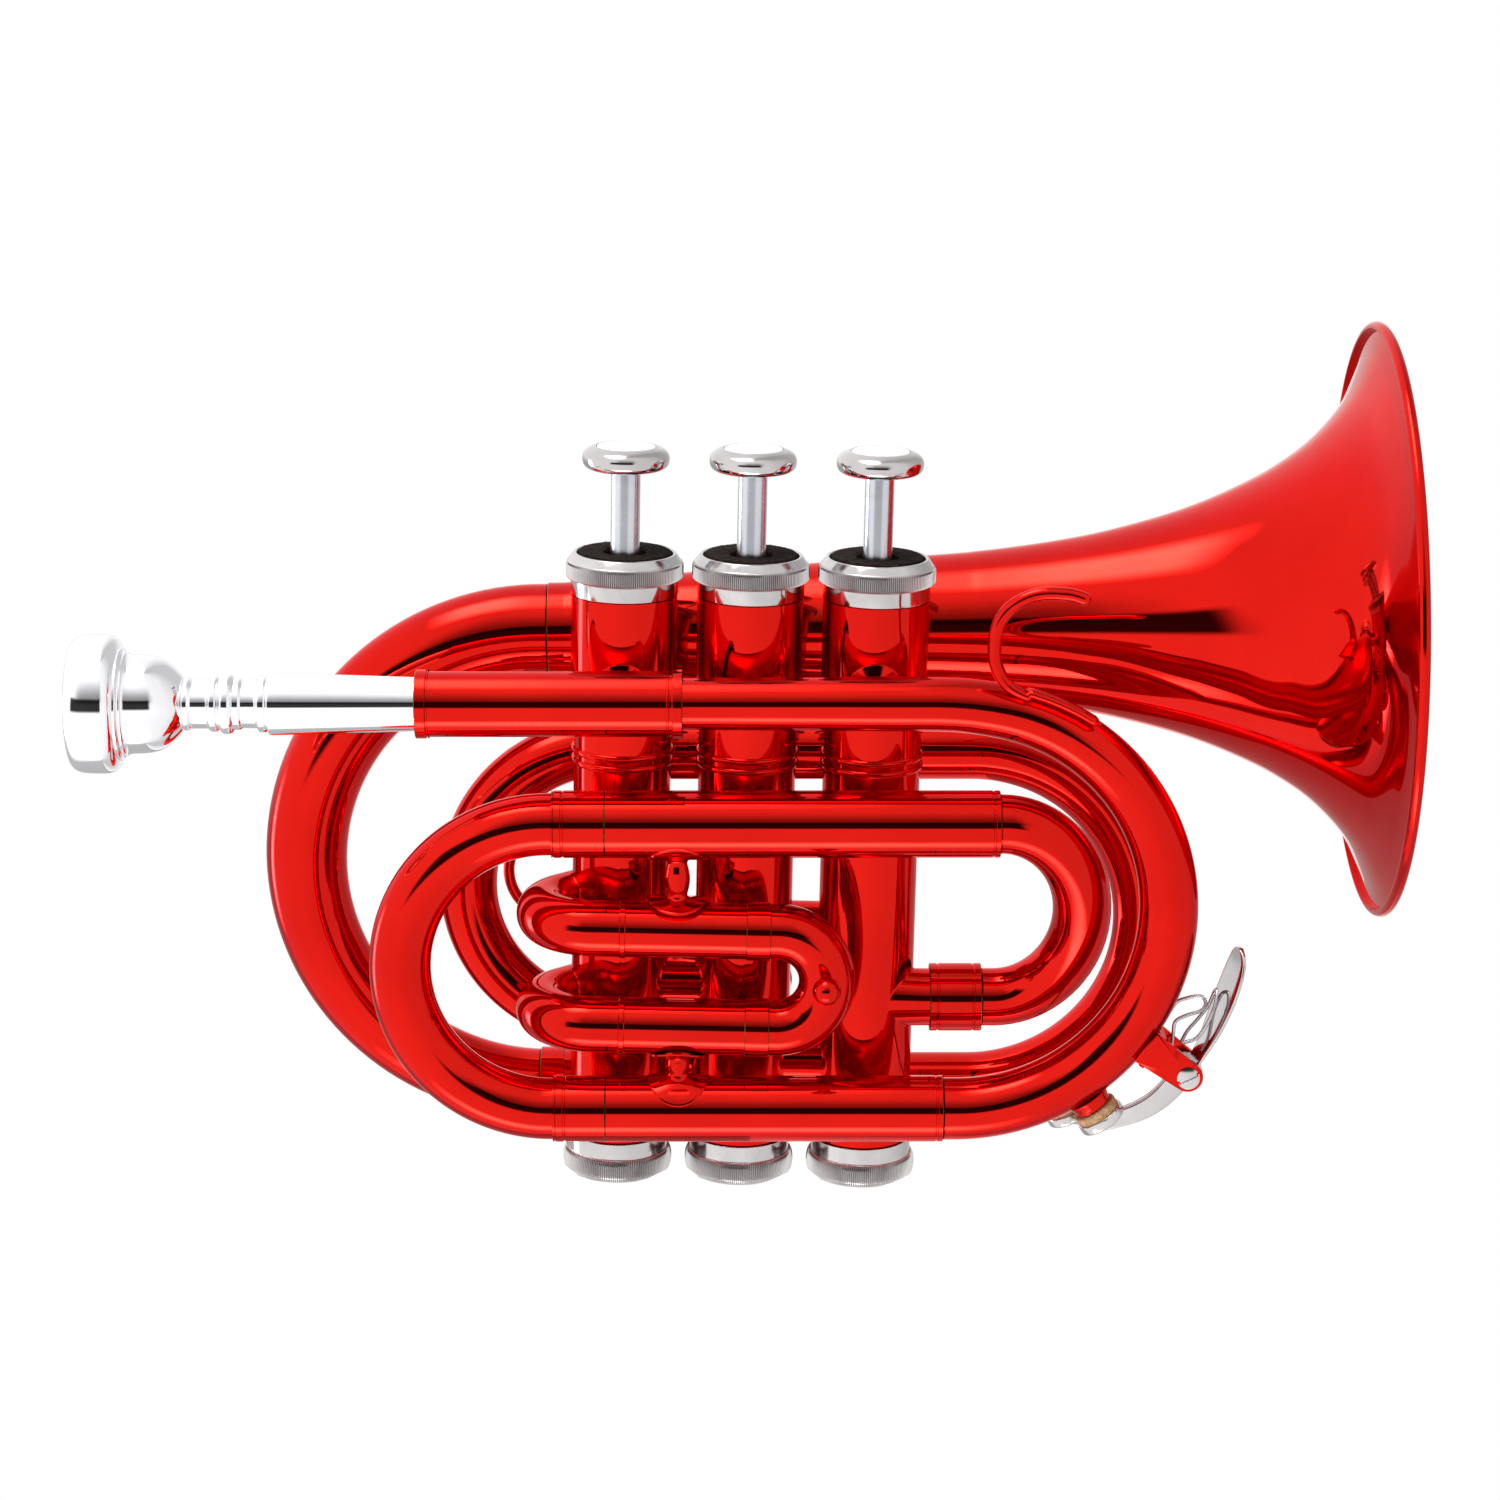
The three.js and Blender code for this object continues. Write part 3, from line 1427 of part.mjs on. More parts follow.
const slideBraceUpper = brace(
  at(slideBraceX, frontPlaneY, firstUpperHeight + firstSlideRadius - braceFlangeThickness),
  at(slideBraceX, frontPlaneY, upperLegHeight - sleeveRadius + braceFlangeThickness),
  bracePostRadius,
  braceFlangeRadius,
  upperSleeveEnvelope,
  firstSleeveEnvelope(firstUpperHeight),
);
const slideBraceLower = brace(
  at(slideBraceX, frontPlaneY, lowerLegHeight + sleeveRadius - braceFlangeThickness),
  at(slideBraceX, frontPlaneY, firstLowerHeight - firstSlideRadius + braceFlangeThickness),
  lowerBracePostRadius,
  braceFlangeRadius,
  lowerSleeveEnvelope,
  firstSleeveEnvelope(firstLowerHeight),
);
addPiece(trumpet, 'slide_brace_upper', slideBraceUpper, lacquer);
addPiece(trumpet, 'slide_brace_lower', slideBraceLower, lacquer);

// Water key: nipple corks sit in two cups on one sprung lever, pivoted on a saddle
const pivot = onLeadpipeBow(pivotAngle, leadpipeEndRadius + pivotStandoff);
const keyRadial = (angle) => at(Math.cos(radians(angle)), 0, Math.sin(radians(angle)));

function keyCork(tip, direction, margin = 0) {
  const cork = turned([
    [0, -margin],
    [keyCorkRadius + margin, -margin],
    [keyCorkRadius + margin, keyCorkThickness + margin],
    [0, keyCorkThickness + margin],
  ], tubeSides);
  return aimed(cork, tip.clone().addScaledVector(direction, gap), direction);
}

function keyCup(tip, direction) {
  const floor = keyCorkThickness + 2 * gap;
  const cup = turned([
    [0, floor],
    [keyCorkRadius + gap, floor],
    [keyCorkRadius + gap, floor - keyCupDepth],
    [keyCupRadius, floor - keyCupDepth],
    [keyCupRadius, floor + keyCupWall / 2],
    [keyCupRadius - keyCupWall, floor + keyCupWall],
    [0, floor + keyCupWall],
  ], tubeSides);
  return aimed(cup, tip.clone(), direction);
}

const frontDirection = keyRadial(keyAngle);
const rearDirection = keyRadial(rearKeyAngle);
const frontTip = onLeadpipeBow(keyAngle, frontSurface + keyNippleHeight);
const rearTip = onBranchLoop(rearKeyAngle, branchMidRadius + keyNippleHeight);
const cupBack = keyCorkThickness + 2 * gap + keyCupWall + keyRodRadius / 2;
const frontCupBack = frontTip.clone().addScaledVector(frontDirection, cupBack);
const rearCupBack = rearTip.clone().addScaledVector(rearDirection, cupBack);
addPiece(trumpet, 'water_key_cork_front', keyCork(frontTip, frontDirection), corkTan);
addPiece(trumpet, 'water_key_cork_rear', keyCork(rearTip, rearDirection), corkTan);

function flatBar(start, end, width, thickness) {
  const run = end.clone().sub(start);
  const bar = new THREE.BoxGeometry(thickness, width, run.length());
  bar.translate(0, 0, run.length() / 2);
  const along = run.clone().normalize();
  const across = axisY.clone();
  const normal = across.clone().cross(along).normalize();
  const frame = new THREE.Matrix4().makeBasis(normal, across, along);
  return bar.applyMatrix4(frame).translate(start.x, start.y, start.z);
}

// Finger plate: a strip bent round with the leadpipe bow, from the pivot upwards
function fingerPlate() {
  const edge = (side) => Array.from({ length: elbowSteps + 1 }, (unused, i) => {
    const share = i / elbowSteps;
    const lift = THREE.MathUtils.lerp(plateRootLift, plateTipLift, share);
    const angle = THREE.MathUtils.lerp(pivotAngle, plateTipAngle, share);
    const standoff = leadpipeEndRadius + pivotStandoff + lift + side * plateThickness / 2;
    const point = onLeadpipeBow(angle, standoff);
    return new THREE.Vector2(point.x, point.z);
  });
  const outline = new THREE.Shape([...edge(1), ...edge(-1).reverse()]);
  const plate = new THREE.ExtrudeGeometry(outline, { depth: plateWidth, bevelEnabled: false });
  return plate.rotateX(radians(90)).translate(0, frontPlaneY + plateWidth / 2, 0);
}

const barrelFrontY = pivot.y - earGap / 2 + gap;
const barrelStart = at(pivot.x, barrelFrontY, pivot.z);
const barrelEnd = at(pivot.x, barrelFrontY + barrelKeyLength, pivot.z);
const screwHole = rod(
  at(pivot.x, pivot.y - earGap, pivot.z),
  at(pivot.x, pivot.y + earGap, pivot.z),
  screwRadius + gap,
  tubeSides,
);
const springRoom = rod(
  at(pivot.x, barrelEnd.y, pivot.z),
  at(pivot.x, pivot.y + earGap / 2 + overrun, pivot.z),
  keySpringRadius + keySpringWire + gap,
  tubeSides,
);
const lever = cut(
  join(
    rod(barrelStart, barrelEnd, barrelKeyRadius, tubeSides),
    flatBar(pivot, frontCupBack, keyArmWidth, keyArmThickness),
    keyCup(frontTip, frontDirection),
    rod(frontCupBack, rearCupBack, keyRodRadius, rodSides),
    keyCup(rearTip, rearDirection),
    fingerPlate(),
  ),
  screwHole,
  springRoom,
  keyCork(frontTip, frontDirection, gap),
  keyCork(rearTip, rearDirection, gap),
);
addPiece(trumpet, 'water_key_lever', lever, silver);

// Saddle: two ears on a foot that is shaped to the leadpipe bow
function saddle() {
  const radial = keyRadial(pivotAngle);
  const footPoint = onLeadpipeBow(pivotAngle, 0);
  const width = earGap + 2 * earThickness;
  const ears = join(
    flatBar(footPoint, pivot, width, 2 * earRadius),
    rod(
      at(pivot.x, pivot.y - width / 2, pivot.z),
      at(pivot.x, pivot.y + width / 2, pivot.z),
      earRadius,
      tubeSides,
    ),
  );
  const slotStart = onLeadpipeBow(pivotAngle, leadpipeEndRadius + braceFlangeThickness);
  const slotEnd = pivot.clone().addScaledVector(radial, earRadius + overrun);
  const slot = flatBar(slotStart, slotEnd, earGap, 2 * earRadius + overrun);
  const bow = leadpipeRun(gap).filled(skinOf, axisY);
  return cut(ears, slot, screwHole, bow);
}

addPiece(trumpet, 'water_key_saddle', saddle(), lacquer);

// Pivot screw with a slotted head on the front ear
function pivotScrew() {
  const headY = pivot.y - earGap / 2 - earThickness - gap;
  const farY = pivot.y + earGap / 2 + earThickness;
  const shank = rod(at(pivot.x, headY, pivot.z), at(pivot.x, farY, pivot.z), screwRadius, tubeSides);
  const head = rod(
    at(pivot.x, headY - screwHeadHeight, pivot.z),
    at(pivot.x, headY, pivot.z),
    screwHeadRadius,
    tubeSides,
  );
  const slotDepth = screwHeadHeight / 2;
  const slot = new THREE.BoxGeometry(2 * screwHeadRadius + overrun, 2 * slotDepth, screwSlotWidth)
    .rotateY(radians(45))
    .translate(pivot.x, headY - screwHeadHeight, pivot.z);
  return cut(join(shank, head), slot);
}

addPiece(trumpet, 'water_key_screw', pivotScrew(), nickel);

// Key spring: coils on the screw between the barrel and the rear ear
function keySpring() {
  const startY = barrelFrontY + barrelKeyLength + gap + keySpringWire;
  const endY = pivot.y + earGap / 2 - gap - keySpringWire;
  const coil = new Coil(keySpringRadius, startY, endY, keySpringTurns);
  const wire = wireAlong(coil, keySpringWire, keySpringTurns * rodSides, rodSides / 2);
  wire.rotateX(radians(-90)).translate(pivot.x, 0, pivot.z);
  return wire;
}

addPiece(trumpet, 'water_key_spring', keySpring(), springSteel);

export default trumpet;
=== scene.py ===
# %% [markdown]
# # A pocket trumpet, one surface at a time
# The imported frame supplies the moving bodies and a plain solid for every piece. Those solids
# have flat facets, which a mirror-bright lacquer would show, so each visible piece is computed
# here as a smooth surface with whole numpy arrays and takes its solid's place.
# Lengths in this file are millimetres until a mesh is made, +X points to the bell and +Z up.

import json
import math

import bpy
import numpy as np
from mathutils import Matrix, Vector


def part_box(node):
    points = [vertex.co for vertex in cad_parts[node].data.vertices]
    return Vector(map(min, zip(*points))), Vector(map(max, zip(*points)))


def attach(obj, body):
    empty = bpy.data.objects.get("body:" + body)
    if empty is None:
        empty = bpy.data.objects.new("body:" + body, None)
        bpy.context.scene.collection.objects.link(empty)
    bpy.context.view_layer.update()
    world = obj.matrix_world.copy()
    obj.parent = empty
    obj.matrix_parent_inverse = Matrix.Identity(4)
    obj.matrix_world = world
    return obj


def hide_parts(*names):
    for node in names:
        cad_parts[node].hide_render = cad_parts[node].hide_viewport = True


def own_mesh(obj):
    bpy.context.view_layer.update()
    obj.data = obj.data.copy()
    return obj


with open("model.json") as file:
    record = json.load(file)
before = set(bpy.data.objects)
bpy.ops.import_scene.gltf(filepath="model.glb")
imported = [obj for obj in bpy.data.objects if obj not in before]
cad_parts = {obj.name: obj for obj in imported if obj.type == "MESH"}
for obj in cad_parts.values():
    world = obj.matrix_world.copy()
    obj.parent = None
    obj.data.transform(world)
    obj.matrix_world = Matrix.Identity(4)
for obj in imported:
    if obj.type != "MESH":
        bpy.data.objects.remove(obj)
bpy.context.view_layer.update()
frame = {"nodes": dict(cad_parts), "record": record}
scene = bpy.context.scene

# %% [markdown]
# ## Vectors and the lean of the valve row
# The three valves of the real trumpet lean towards the bell by a little over one degree. Whole
# objects could be turned, but a finished object has to sit unturned at the origin. So pieces of
# the valve row are computed upright, and their points are leaned before the mesh is made.

# %% Vector helpers
X, Y, Z = np.eye(3)
LEAN = math.radians(1.19)


def unit(v):
    """The vector divided by its length."""
    v = np.asarray(v, float)
    return v / np.linalg.norm(v, axis=-1, keepdims=True)


def lean(points):
    """Turns points about Y by the lean: x and z mix by its cosine and sine."""
    p = np.asarray(points, float)
    c, s = math.cos(LEAN), math.sin(LEAN)
    return np.stack([p[..., 0] * c + p[..., 2] * s, p[..., 1], p[..., 2] * c - p[..., 0] * s], -1)


def upright(points):
    """Leaves points where they are, for pieces that don't lean."""
    return np.asarray(points, float)


print("the valve row leans", round(math.degrees(LEAN), 2), "degrees")

# %% [markdown]
# ## Outlines
# No corner of polished brass is quite sharp, and its small rounding is what catches the light.
# A Bevel modifier could round it, but a rounded outline gives every turned piece its soft
# corners at once. Corners are rounded with a quadratic curve, and swelling profiles are drawn
# through measured points with a smooth cubic one.

# %% Outline helpers
def soften(corners, cut, steps, closed=False):
    """Each corner gives way to the curve (1-t)^2 a + 2t(1-t) corner + t^2 b, where a and b lie
    on its two sides, at most `cut` from it and at most 45% of the way along the side."""
    c = np.asarray(corners, float)
    middle = c if closed else c[1:-1]
    back = (np.roll(c, 1, 0) if closed else c[:-2]) - middle
    ahead = (np.roll(c, -1, 0) if closed else c[2:]) - middle
    long_back = np.linalg.norm(back, axis=1, keepdims=True)
    long_ahead = np.linalg.norm(ahead, axis=1, keepdims=True)
    a = middle + back / long_back * np.minimum(cut, 0.45 * long_back)
    b = middle + ahead / long_ahead * np.minimum(cut, 0.45 * long_ahead)
    t = np.linspace(0, 1, steps + 1)[:, None]
    curve = (1 - t) ** 2 * a[:, None] + 2 * t * (1 - t) * middle[:, None] + t**2 * b[:, None]
    curve = curve.reshape(-1, c.shape[1])
    return curve if closed else np.concatenate([c[:1], curve, c[-1:]])


def through(points, steps):
    """A smooth curve through points: a cubic in t between each pair of them, whose slope at a
    point is half the step from the point before it to the point after it."""
    p = np.asarray(points, float)
    e = np.concatenate([2 * p[:1] - p[1:2], p, 2 * p[-1:] - p[-2:-1]])
    a, b, c, d = e[:-3], e[1:-2], e[2:-1], e[3:]
    t = np.linspace(0, 1, steps, endpoint=False)[:, None, None]
    curve = b + 0.5 * ((c - a) * t + (2 * a - 5 * b + 4 * c - d) * t**2)
    curve = curve + 0.5 * (3 * b - a - 3 * c + d) * t**3
    return np.concatenate([np.moveaxis(curve, 0, 1).reshape(-1, p.shape[1]), p[-1:]])


def bead(radius, height, half, rise):
    """A raised half round on a turned profile: rise times the sine of an angle outwards, half
    times minus its cosine along."""
    a = np.linspace(0, math.pi, 8)
    return np.stack([radius + rise * np.sin(a), height - half * np.cos(a)], 1)


# %% [markdown]
# ## Meshes
# Almost every part of a trumpet is turned or drawn, so a grid of rows and columns fits it. A
# loft joins neighbouring rows of points with four-sided faces. The signed volume, a sum of
# corner products over all faces, is positive when they look outwards, and if it isn't, every
# face is turned over.

# %% Mesh helpers
finish = {}


def make_mesh(name, points, quads, triangles, paint, crisp):
    """One mesh object from arrays. `paint` gives each quad its material index."""
    quads = np.asarray(quads, int).reshape(-1, 4)
    triangles = np.asarray(triangles, int).reshape(-1, 3)
    halves = np.concatenate([quads[:, :3], quads[:, [0, 2, 3]], triangles])
    a, b, c = (points[halves[:, k]] for k in range(3))
    if np.einsum("ij,ij->", a, np.cross(b, c)) < 0:
        quads, triangles = quads[:, ::-1], triangles[:, ::-1]
    mesh = bpy.data.meshes.new(name)
    mesh.from_pydata((points / 1000).tolist(), [], quads.tolist() + triangles.tolist())
    paint = np.concatenate([paint, np.zeros(len(triangles), int)]).astype(np.int32)
    mesh.polygons.foreach_set("material_index", paint)
    mesh.shade_smooth()
    mesh.set_sharp_from_angle(angle=math.radians(crisp))
    obj = bpy.data.objects.new(name, mesh)
    scene.collection.objects.link(obj)
    return obj


def loft(name, rings, closed=False, marks=None, crisp=38):
    """Rows of points, whose columns run round: quads between neighbouring rows. A closed loft
    joins its last row to its first, an open one gets a pole in the middle of each end row.
    Edges that bend by more than `crisp` degrees stay sharp."""
    rows, columns = rings.shape[:2]
    index = np.arange(rows * columns).reshape(rows, columns)
    lower, upper = (index, np.roll(index, -1, 0)) if closed else (index[:-1], index[1:])
    quads = np.stack([lower, np.roll(lower, -1, 1), np.roll(upper, -1, 1), upper], -1)
    marks = np.zeros(rows, int) if marks is None else np.asarray(marks, int)
    paint = np.repeat(marks[: len(lower)], columns)
    points = rings.reshape(-1, 3)
    triangles = []
    if not closed:
        poles = rings[[0, -1]].mean(axis=1)
        first, last = len(points), len(points) + 1
        points = np.concatenate([points, poles])
        near, far = index[0], index[-1]
        bottom = np.stack([np.full(columns, first), np.roll(near, -1), near], -1)
        top = np.stack([np.full(columns, last), far, np.roll(far, -1)], -1)
        triangles = np.concatenate([bottom, top])
    return make_mesh(name, points, quads, triangles, paint, crisp)


def place(obj, body, slot, *nodes, look=None):
    """Gives a piece its moving body, its finish and the solids that it stands for. `look` is a
    finish of its own for a piece that shares its slot with others."""
    obj.data.materials.append(finish[look or slot])
    if slot == "red_lacquer":
        obj.data.materials.append(finish["bare_edge"])
    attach(obj, body)
    if nodes:
        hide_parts(*nodes)
    return obj


def piece(name, rings, body, slot, *nodes, look=None, **shape):
    """A loft and its place in the trumpet in one step."""
    return place(loft(name, rings, **shape), body, slot, *nodes, look=look)


def tell(words):
    """Prints what a cell made, and how many meshes there are by then."""
    print(words, "- meshes so far:", len(bpy.data.meshes))


def spokes(across, along, sides):
    """Unit vectors round a circle: cosine times across plus sine times along."""
    angle = np.linspace(0, 2 * math.pi, sides, endpoint=False)
    return np.cos(angle)[:, None] * across + np.sin(angle)[:, None] * along


def turned(profile, start, axis, sides, ripple=0.0):
    """A body of revolution: start + height times axis + radius times a spoke. `ripple` is added
    to the radius, one value for each point."""
    profile, axis = np.asarray(profile, float), unit(axis)
    across = unit(np.cross(axis, X if abs(axis @ X) < 0.9 else Y))
    radius = np.broadcast_to(profile[:, :1] + ripple, (len(profile), sides))
    spoke = spokes(across, np.cross(axis, across), sides)
    return start + profile[:, 1, None, None] * axis + radius[..., None] * spoke


def landing(centre, heading, across, along, profile, cylinder, sides, wrap=None):
    """Rings that stand on a cylinder. A profile row is a radius about the tube's own line and a
    height above the cylinder. Each point slides along the heading until its distance from the
    cylinder's axis is the cylinder's radius, the smaller root of a quadratic, and goes back by
    its height. With a wrap, the rings from one radius to another are bent round the cylinder
    until the outermost reaches that angle from the top."""
    point, axis, radius = cylinder
    profile = np.asarray(profile, float)
    start = centre + profile[:, 0, None, None] * spokes(across, along, sides)
    if wrap:
        inner, outer, reach = wrap
        sideways = unit(np.cross(heading, axis))
        part = (start - centre) @ sideways
        share = np.clip((profile[:, 0, None] - inner) / (outer - inner), 0, 1)
        start = start + (share * (radius * np.sin(part * reach / outer) - part))[..., None] * sideways
    gap = start - point
    gap = gap - (gap @ axis)[..., None] * axis
    way = heading - (heading @ axis) * axis
    a, b = way @ way, gap @ way
    c = np.einsum("ijk,ijk->ij", gap, gap) - radius**2
    travel = (-b - np.sqrt(np.maximum(b**2 - a * c, 0))) / a
    return start + (travel - profile[:, 1, None])[..., None] * heading


def fillet(radius, size, steps=5):
    """Profile of a solder fillet: a quarter circle that flares out as it comes down."""
    u = np.linspace(0, math.pi / 2, steps)
    return np.stack([radius + size * (1 - np.cos(u)), size * (1 - np.sin(u))], 1)


# %% [markdown]
# ## Tubes
# A curve with a bevel would be the quick way to a tube, but it has no wall, no steps and no
# solder. Here a tube is laid as a maker bends it, in straight lengths, bends and steps. Every
# call adds an array of stations, each a place, a heading, an outer radius, a bore radius and a
# mark. A marked station starts a bare brass edge, where lacquer never reached. EDGE is the width
# of that edge, the two steps are the spacing of stations in millimetres and in degrees, and
# SOLDER is the size of a fillet where a tube stands on another. OUTER, INNER and MARK are the
# columns of a station's two radii and its mark.

# %% The tube builder
EDGE, SOLDER = 0.14, 0.7
STRAIGHT_STEP, BEND_STEP = 4, 2.5
OUTER, INNER, MARK = 6, 7, 8


class Run:
    """A tube as far as it is laid: its place, heading and radii now, and its stations so far."""

    def __init__(self, start, heading, radius, bore):
        self.place, self.heading = np.array(start, float), unit(heading)
        self.radius, self.bore, self.table = radius, bore, []
        self.add(self.place, self.heading, radius - EDGE, bore, 1)
        self.add(self.place + EDGE * self.heading, self.heading, radius, bore)

    def add(self, places, headings, radii, bores, mark=0):
        """Appends stations, given as arrays or as single values."""
        places = np.atleast_2d(places)
        columns = [np.broadcast_to(np.reshape(v, (-1, 1)), (len(places), 1)) for v in (radii, bores, mark)]
        self.table.append(np.hstack([places, np.broadcast_to(headings, places.shape), *columns]))

    def straight(self, length, radius=None):
        """Stations evenly along the heading, radii in proportion to the way gone."""
        radius = self.radius if radius is None else radius
        t = np.linspace(0, 1, max(2, int(length / STRAIGHT_STEP)) + 1)[1:]
        places = self.place + t[:, None] * length * self.heading
        self.add(places, self.heading, self.radius + (radius - self.radius) * t, self.bore)
        self.place = self.place + length * self.heading
        self.radius = radius
        return self

    def bend(self, axis, bend_radius, degrees, radius=None, shift=0.0):
        """Turns place and heading about an axis: v cos a + (axis x v) sin a, with a shift along
        the axis that grows with the angle."""
        axis = unit(axis)
        radius = self.radius if radius is None else radius
        wall = self.radius - self.bore
        centre = self.place + np.cross(axis, self.heading) * bend_radius
        t = np.linspace(0, 1, max(4, int(degrees / BEND_STEP)) + 1)[1:]
        a = np.radians(degrees) * t[:, None]
        arm = self.place - centre
        places = centre + np.cos(a) * arm + np.sin(a) * np.cross(axis, arm)
        places = places + shift * t[:, None] * axis
        headings = np.cos(a) * self.heading + np.sin(a) * np.cross(axis, self.heading)
        radii = self.radius + (radius - self.radius) * t
        self.add(places, headings, radii, radii - wall)
        self.place, self.heading = places[-1], headings[-1]
        self.radius, self.bore = radius, radius - wall
        return self

    def curve(self, b, c, d, radius, bore, steps):
        """A cubic curve from here to d with the inner control points b and c."""
        a = self.place
        t = np.linspace(0, 1, steps + 1)[1:, None]
        places = (1 - t) ** 3 * a + 3 * t * (1 - t) ** 2 * b + 3 * t**2 * (1 - t) * c + t**3 * d
        slope = (1 - t) ** 2 * (b - a) + 2 * t * (1 - t) * (c - b) + t**2 * (d - c)
        share = t[:, 0]
        radii = self.radius + (radius - self.radius) * share
        self.add(places, unit(slope), radii, self.bore + (bore - self.bore) * share)
        self.place, self.heading = places[-1], unit(slope)[-1]
        self.radius, self.bore = radius, bore
        return self

    def step(self, radius, bare=True):
        """A step in diameter, with a narrow chamfer on the larger side."""
        if radius > self.radius:
            self.add(self.place, self.heading, radius - EDGE, self.bore, int(bare))
            self.add(self.place + EDGE * self.heading, self.heading, radius, self.bore)
        else:
            self.table[-1][-1, :3] -= EDGE * self.heading
            self.table[-1][-1, MARK] = int(bare)
            self.add(self.place, self.heading, self.radius - EDGE, self.bore)
            self.add(self.place, self.heading, radius, self.bore)
        self.radius = radius
        return self

    def ring(self, length, rise):
        """A raised ring round the tube, or a groove where the rise is negative."""
        before = self.radius
        return self.step(before + rise, bare=False).straight(length).step(before, bare=False)

    def rings(self, reference, sides, start_on=None, end_on=None, solder=SOLDER):
        """The closed skin: outer rows, then the bore's rows backwards. Across is reference x
        heading, along is heading x across. An end may stand on a cylinder instead of stopping:
        stations that come too near the cylinder are dropped, and a fillet lands on it."""
        if end_on is None:
            self.table[-1][-1, :3] -= EDGE * self.heading
            self.table[-1][-1, MARK] = 1
            self.add(self.place, self.heading, self.radius - EDGE, self.bore, 1)
        rows = np.vstack(self.table)
        centres, heading, marks = rows[:, :3], rows[:, 3:6], rows[:, MARK]
        across = unit(np.cross(reference, heading))
        along = np.cross(heading, across)
        spoke = spokes(across[:, None], along[:, None], sides)
        outer = centres[:, None] + rows[:, OUTER, None, None] * spoke
        inner = centres[:, None] + rows[:, INNER, None, None] * spoke
        low, high = 0, len(rows)
        ends = []
        for cylinder, backwards in ((start_on, True), (end_on, False)):
            if cylinder is None:
                ends.append(None)
                continue
            gap = outer - cylinder[0]
            gap = gap - (gap @ cylinder[1])[..., None] * cylinder[1]
            near = np.linalg.norm(gap, axis=-1).min(axis=1) < cylinder[2] + solder * 1.1
            half = len(rows) // 2
            if backwards:
                low = int(np.flatnonzero(near[:half]).max()) + 1
            else:
                high = half + int(np.flatnonzero(near[half:]).min())
            k = low if backwards else high - 1
            way = -heading[k] if backwards else heading[k]
            at_end = (centres[k], way, across[k], along[k])
            skin = landing(*at_end, fillet(rows[k, OUTER], solder), cylinder, sides)
            hole = landing(*at_end, [(rows[k, INNER], 0.0)], cylinder, sides)
            ends.append((skin[::-1], hole) if backwards else (skin, hole))
        outside, inside = [outer[low:high]], [inner[low:high][::-1]]
        mark = [marks[low:high]]
        if ends[0]:
            outside.insert(0, ends[0][0])
            inside.append(ends[0][1])
            mark.insert(0, np.zeros(len(ends[0][0])))
        if ends[1]:
            outside.append(ends[1][0])
            inside.insert(0, ends[1][1])
            mark.append(np.zeros(len(ends[1][0])))
        outside, inside = np.concatenate(outside), np.concatenate(inside)
        mark = np.concatenate(mark + [np.zeros(len(inside))])
        return np.concatenate([outside, inside]), mark


def tube(name, run, reference, body, slot, *nodes, turn=upright, sides=64, **ends):
    """Makes a tube piece of a run."""
    rings, marks = run.rings(reference, sides, **ends)
    return piece(name, turn(rings), body, slot, *nodes, closed=True, marks=marks)


def post(name, centre, heading, radii, ends, node, flange=0.5, belly=0.2, wraps=(0, 0)):
    """A brace: a slightly barrelled post between two cylinders, with a saddle flange on each
    that follows the cylinder's surface. Radii are those of the post and of both flanges, flange
    is the flanges' thickness and belly what the post's radius gains in its middle. Wraps are the
    angles that wide flanges reach round their cylinders, with 0 for a flange that isn't bent."""
    post_radius, *flange_radii = radii
    across = unit(np.cross(heading, X if abs(heading @ X) < 0.9 else Y))
    along = np.cross(heading, across)
    halves = []
    for way, end, reach, angle in zip((-heading, heading), ends, flange_radii, wraps):
        wrap = (post_radius + 0.7, reach, angle) if angle else None
        profile = [
            (post_radius, flange + 0.9),
            (post_radius + 0.15, flange + 0.35),
            (post_radius + 0.7, flange),
            (reach - 0.25, flange),
            (reach, flange - 0.15),
            (reach, 0.0),
            (reach - 0.1, -0.05),
            (reach * 0.6, -0.1),
            (reach * 0.55, -1.2),
        ]
        halves.append(landing(centre, way, across, along, profile, end, 64, wrap))
    share = np.linspace(0, 1, 9)[1:-1, None, None]
    shaft = halves[0][0] + share * (halves[1][0] - halves[0][0])
    line = shaft.mean(axis=1, keepdims=True)
    shaft = line + (shaft - line) * (1 + belly / post_radius * np.sin(math.pi * share))
    return piece(name, np.concatenate([halves[0][::-1], shaft, halves[1]]), "horn", "red_lacquer", node)


# %% [markdown]
# ## Surface effects
# A finish is never one even colour and roughness. What makes it uneven is shared by several
# materials, so each effect is a small node group that puts out masks and heights, while the
# Principled shader stays in the material itself.

# %% Node helpers
def new_group(name, inputs, outputs):
    """An empty effect group with float inputs and outputs."""
    tree = bpy.data.node_groups.new(name, "ShaderNodeTree")
    for label, value in inputs:
        socket = tree.interface.new_socket(label, in_out="INPUT", socket_type="NodeSocketFloat")
        socket.default_value = value
    for label in outputs:
        tree.interface.new_socket(label, in_out="OUTPUT", socket_type="NodeSocketFloat")
    return tree, tree.nodes.new("NodeGroupInput"), tree.nodes.new("NodeGroupOutput")


def add_node(tree, kind, settings=(), **inputs):
    """A node with its settings and inputs. An input is a constant or another node's socket, and
    i0, i1 and so on are inputs by their number."""
    node = tree.nodes.new(kind)
    for key, value in dict(settings).items():
        setattr(node, key, value)
    for key, value in inputs.items():
        label = key.replace("_", " ")
        numbered = label[0] == "i" and label[1:].isdigit()
        socket = node.inputs[int(label[1:]) if numbered else label]
        if isinstance(value, bpy.types.NodeSocket):
            tree.links.new(value, socket)
        else:
            socket.default_value = value
    return node


def calculate(tree, operation, a, b=0.0):
    """One arithmetic step on values."""
    return add_node(tree, "ShaderNodeMath", {"operation": operation}, i0=a, i1=b).outputs[0]


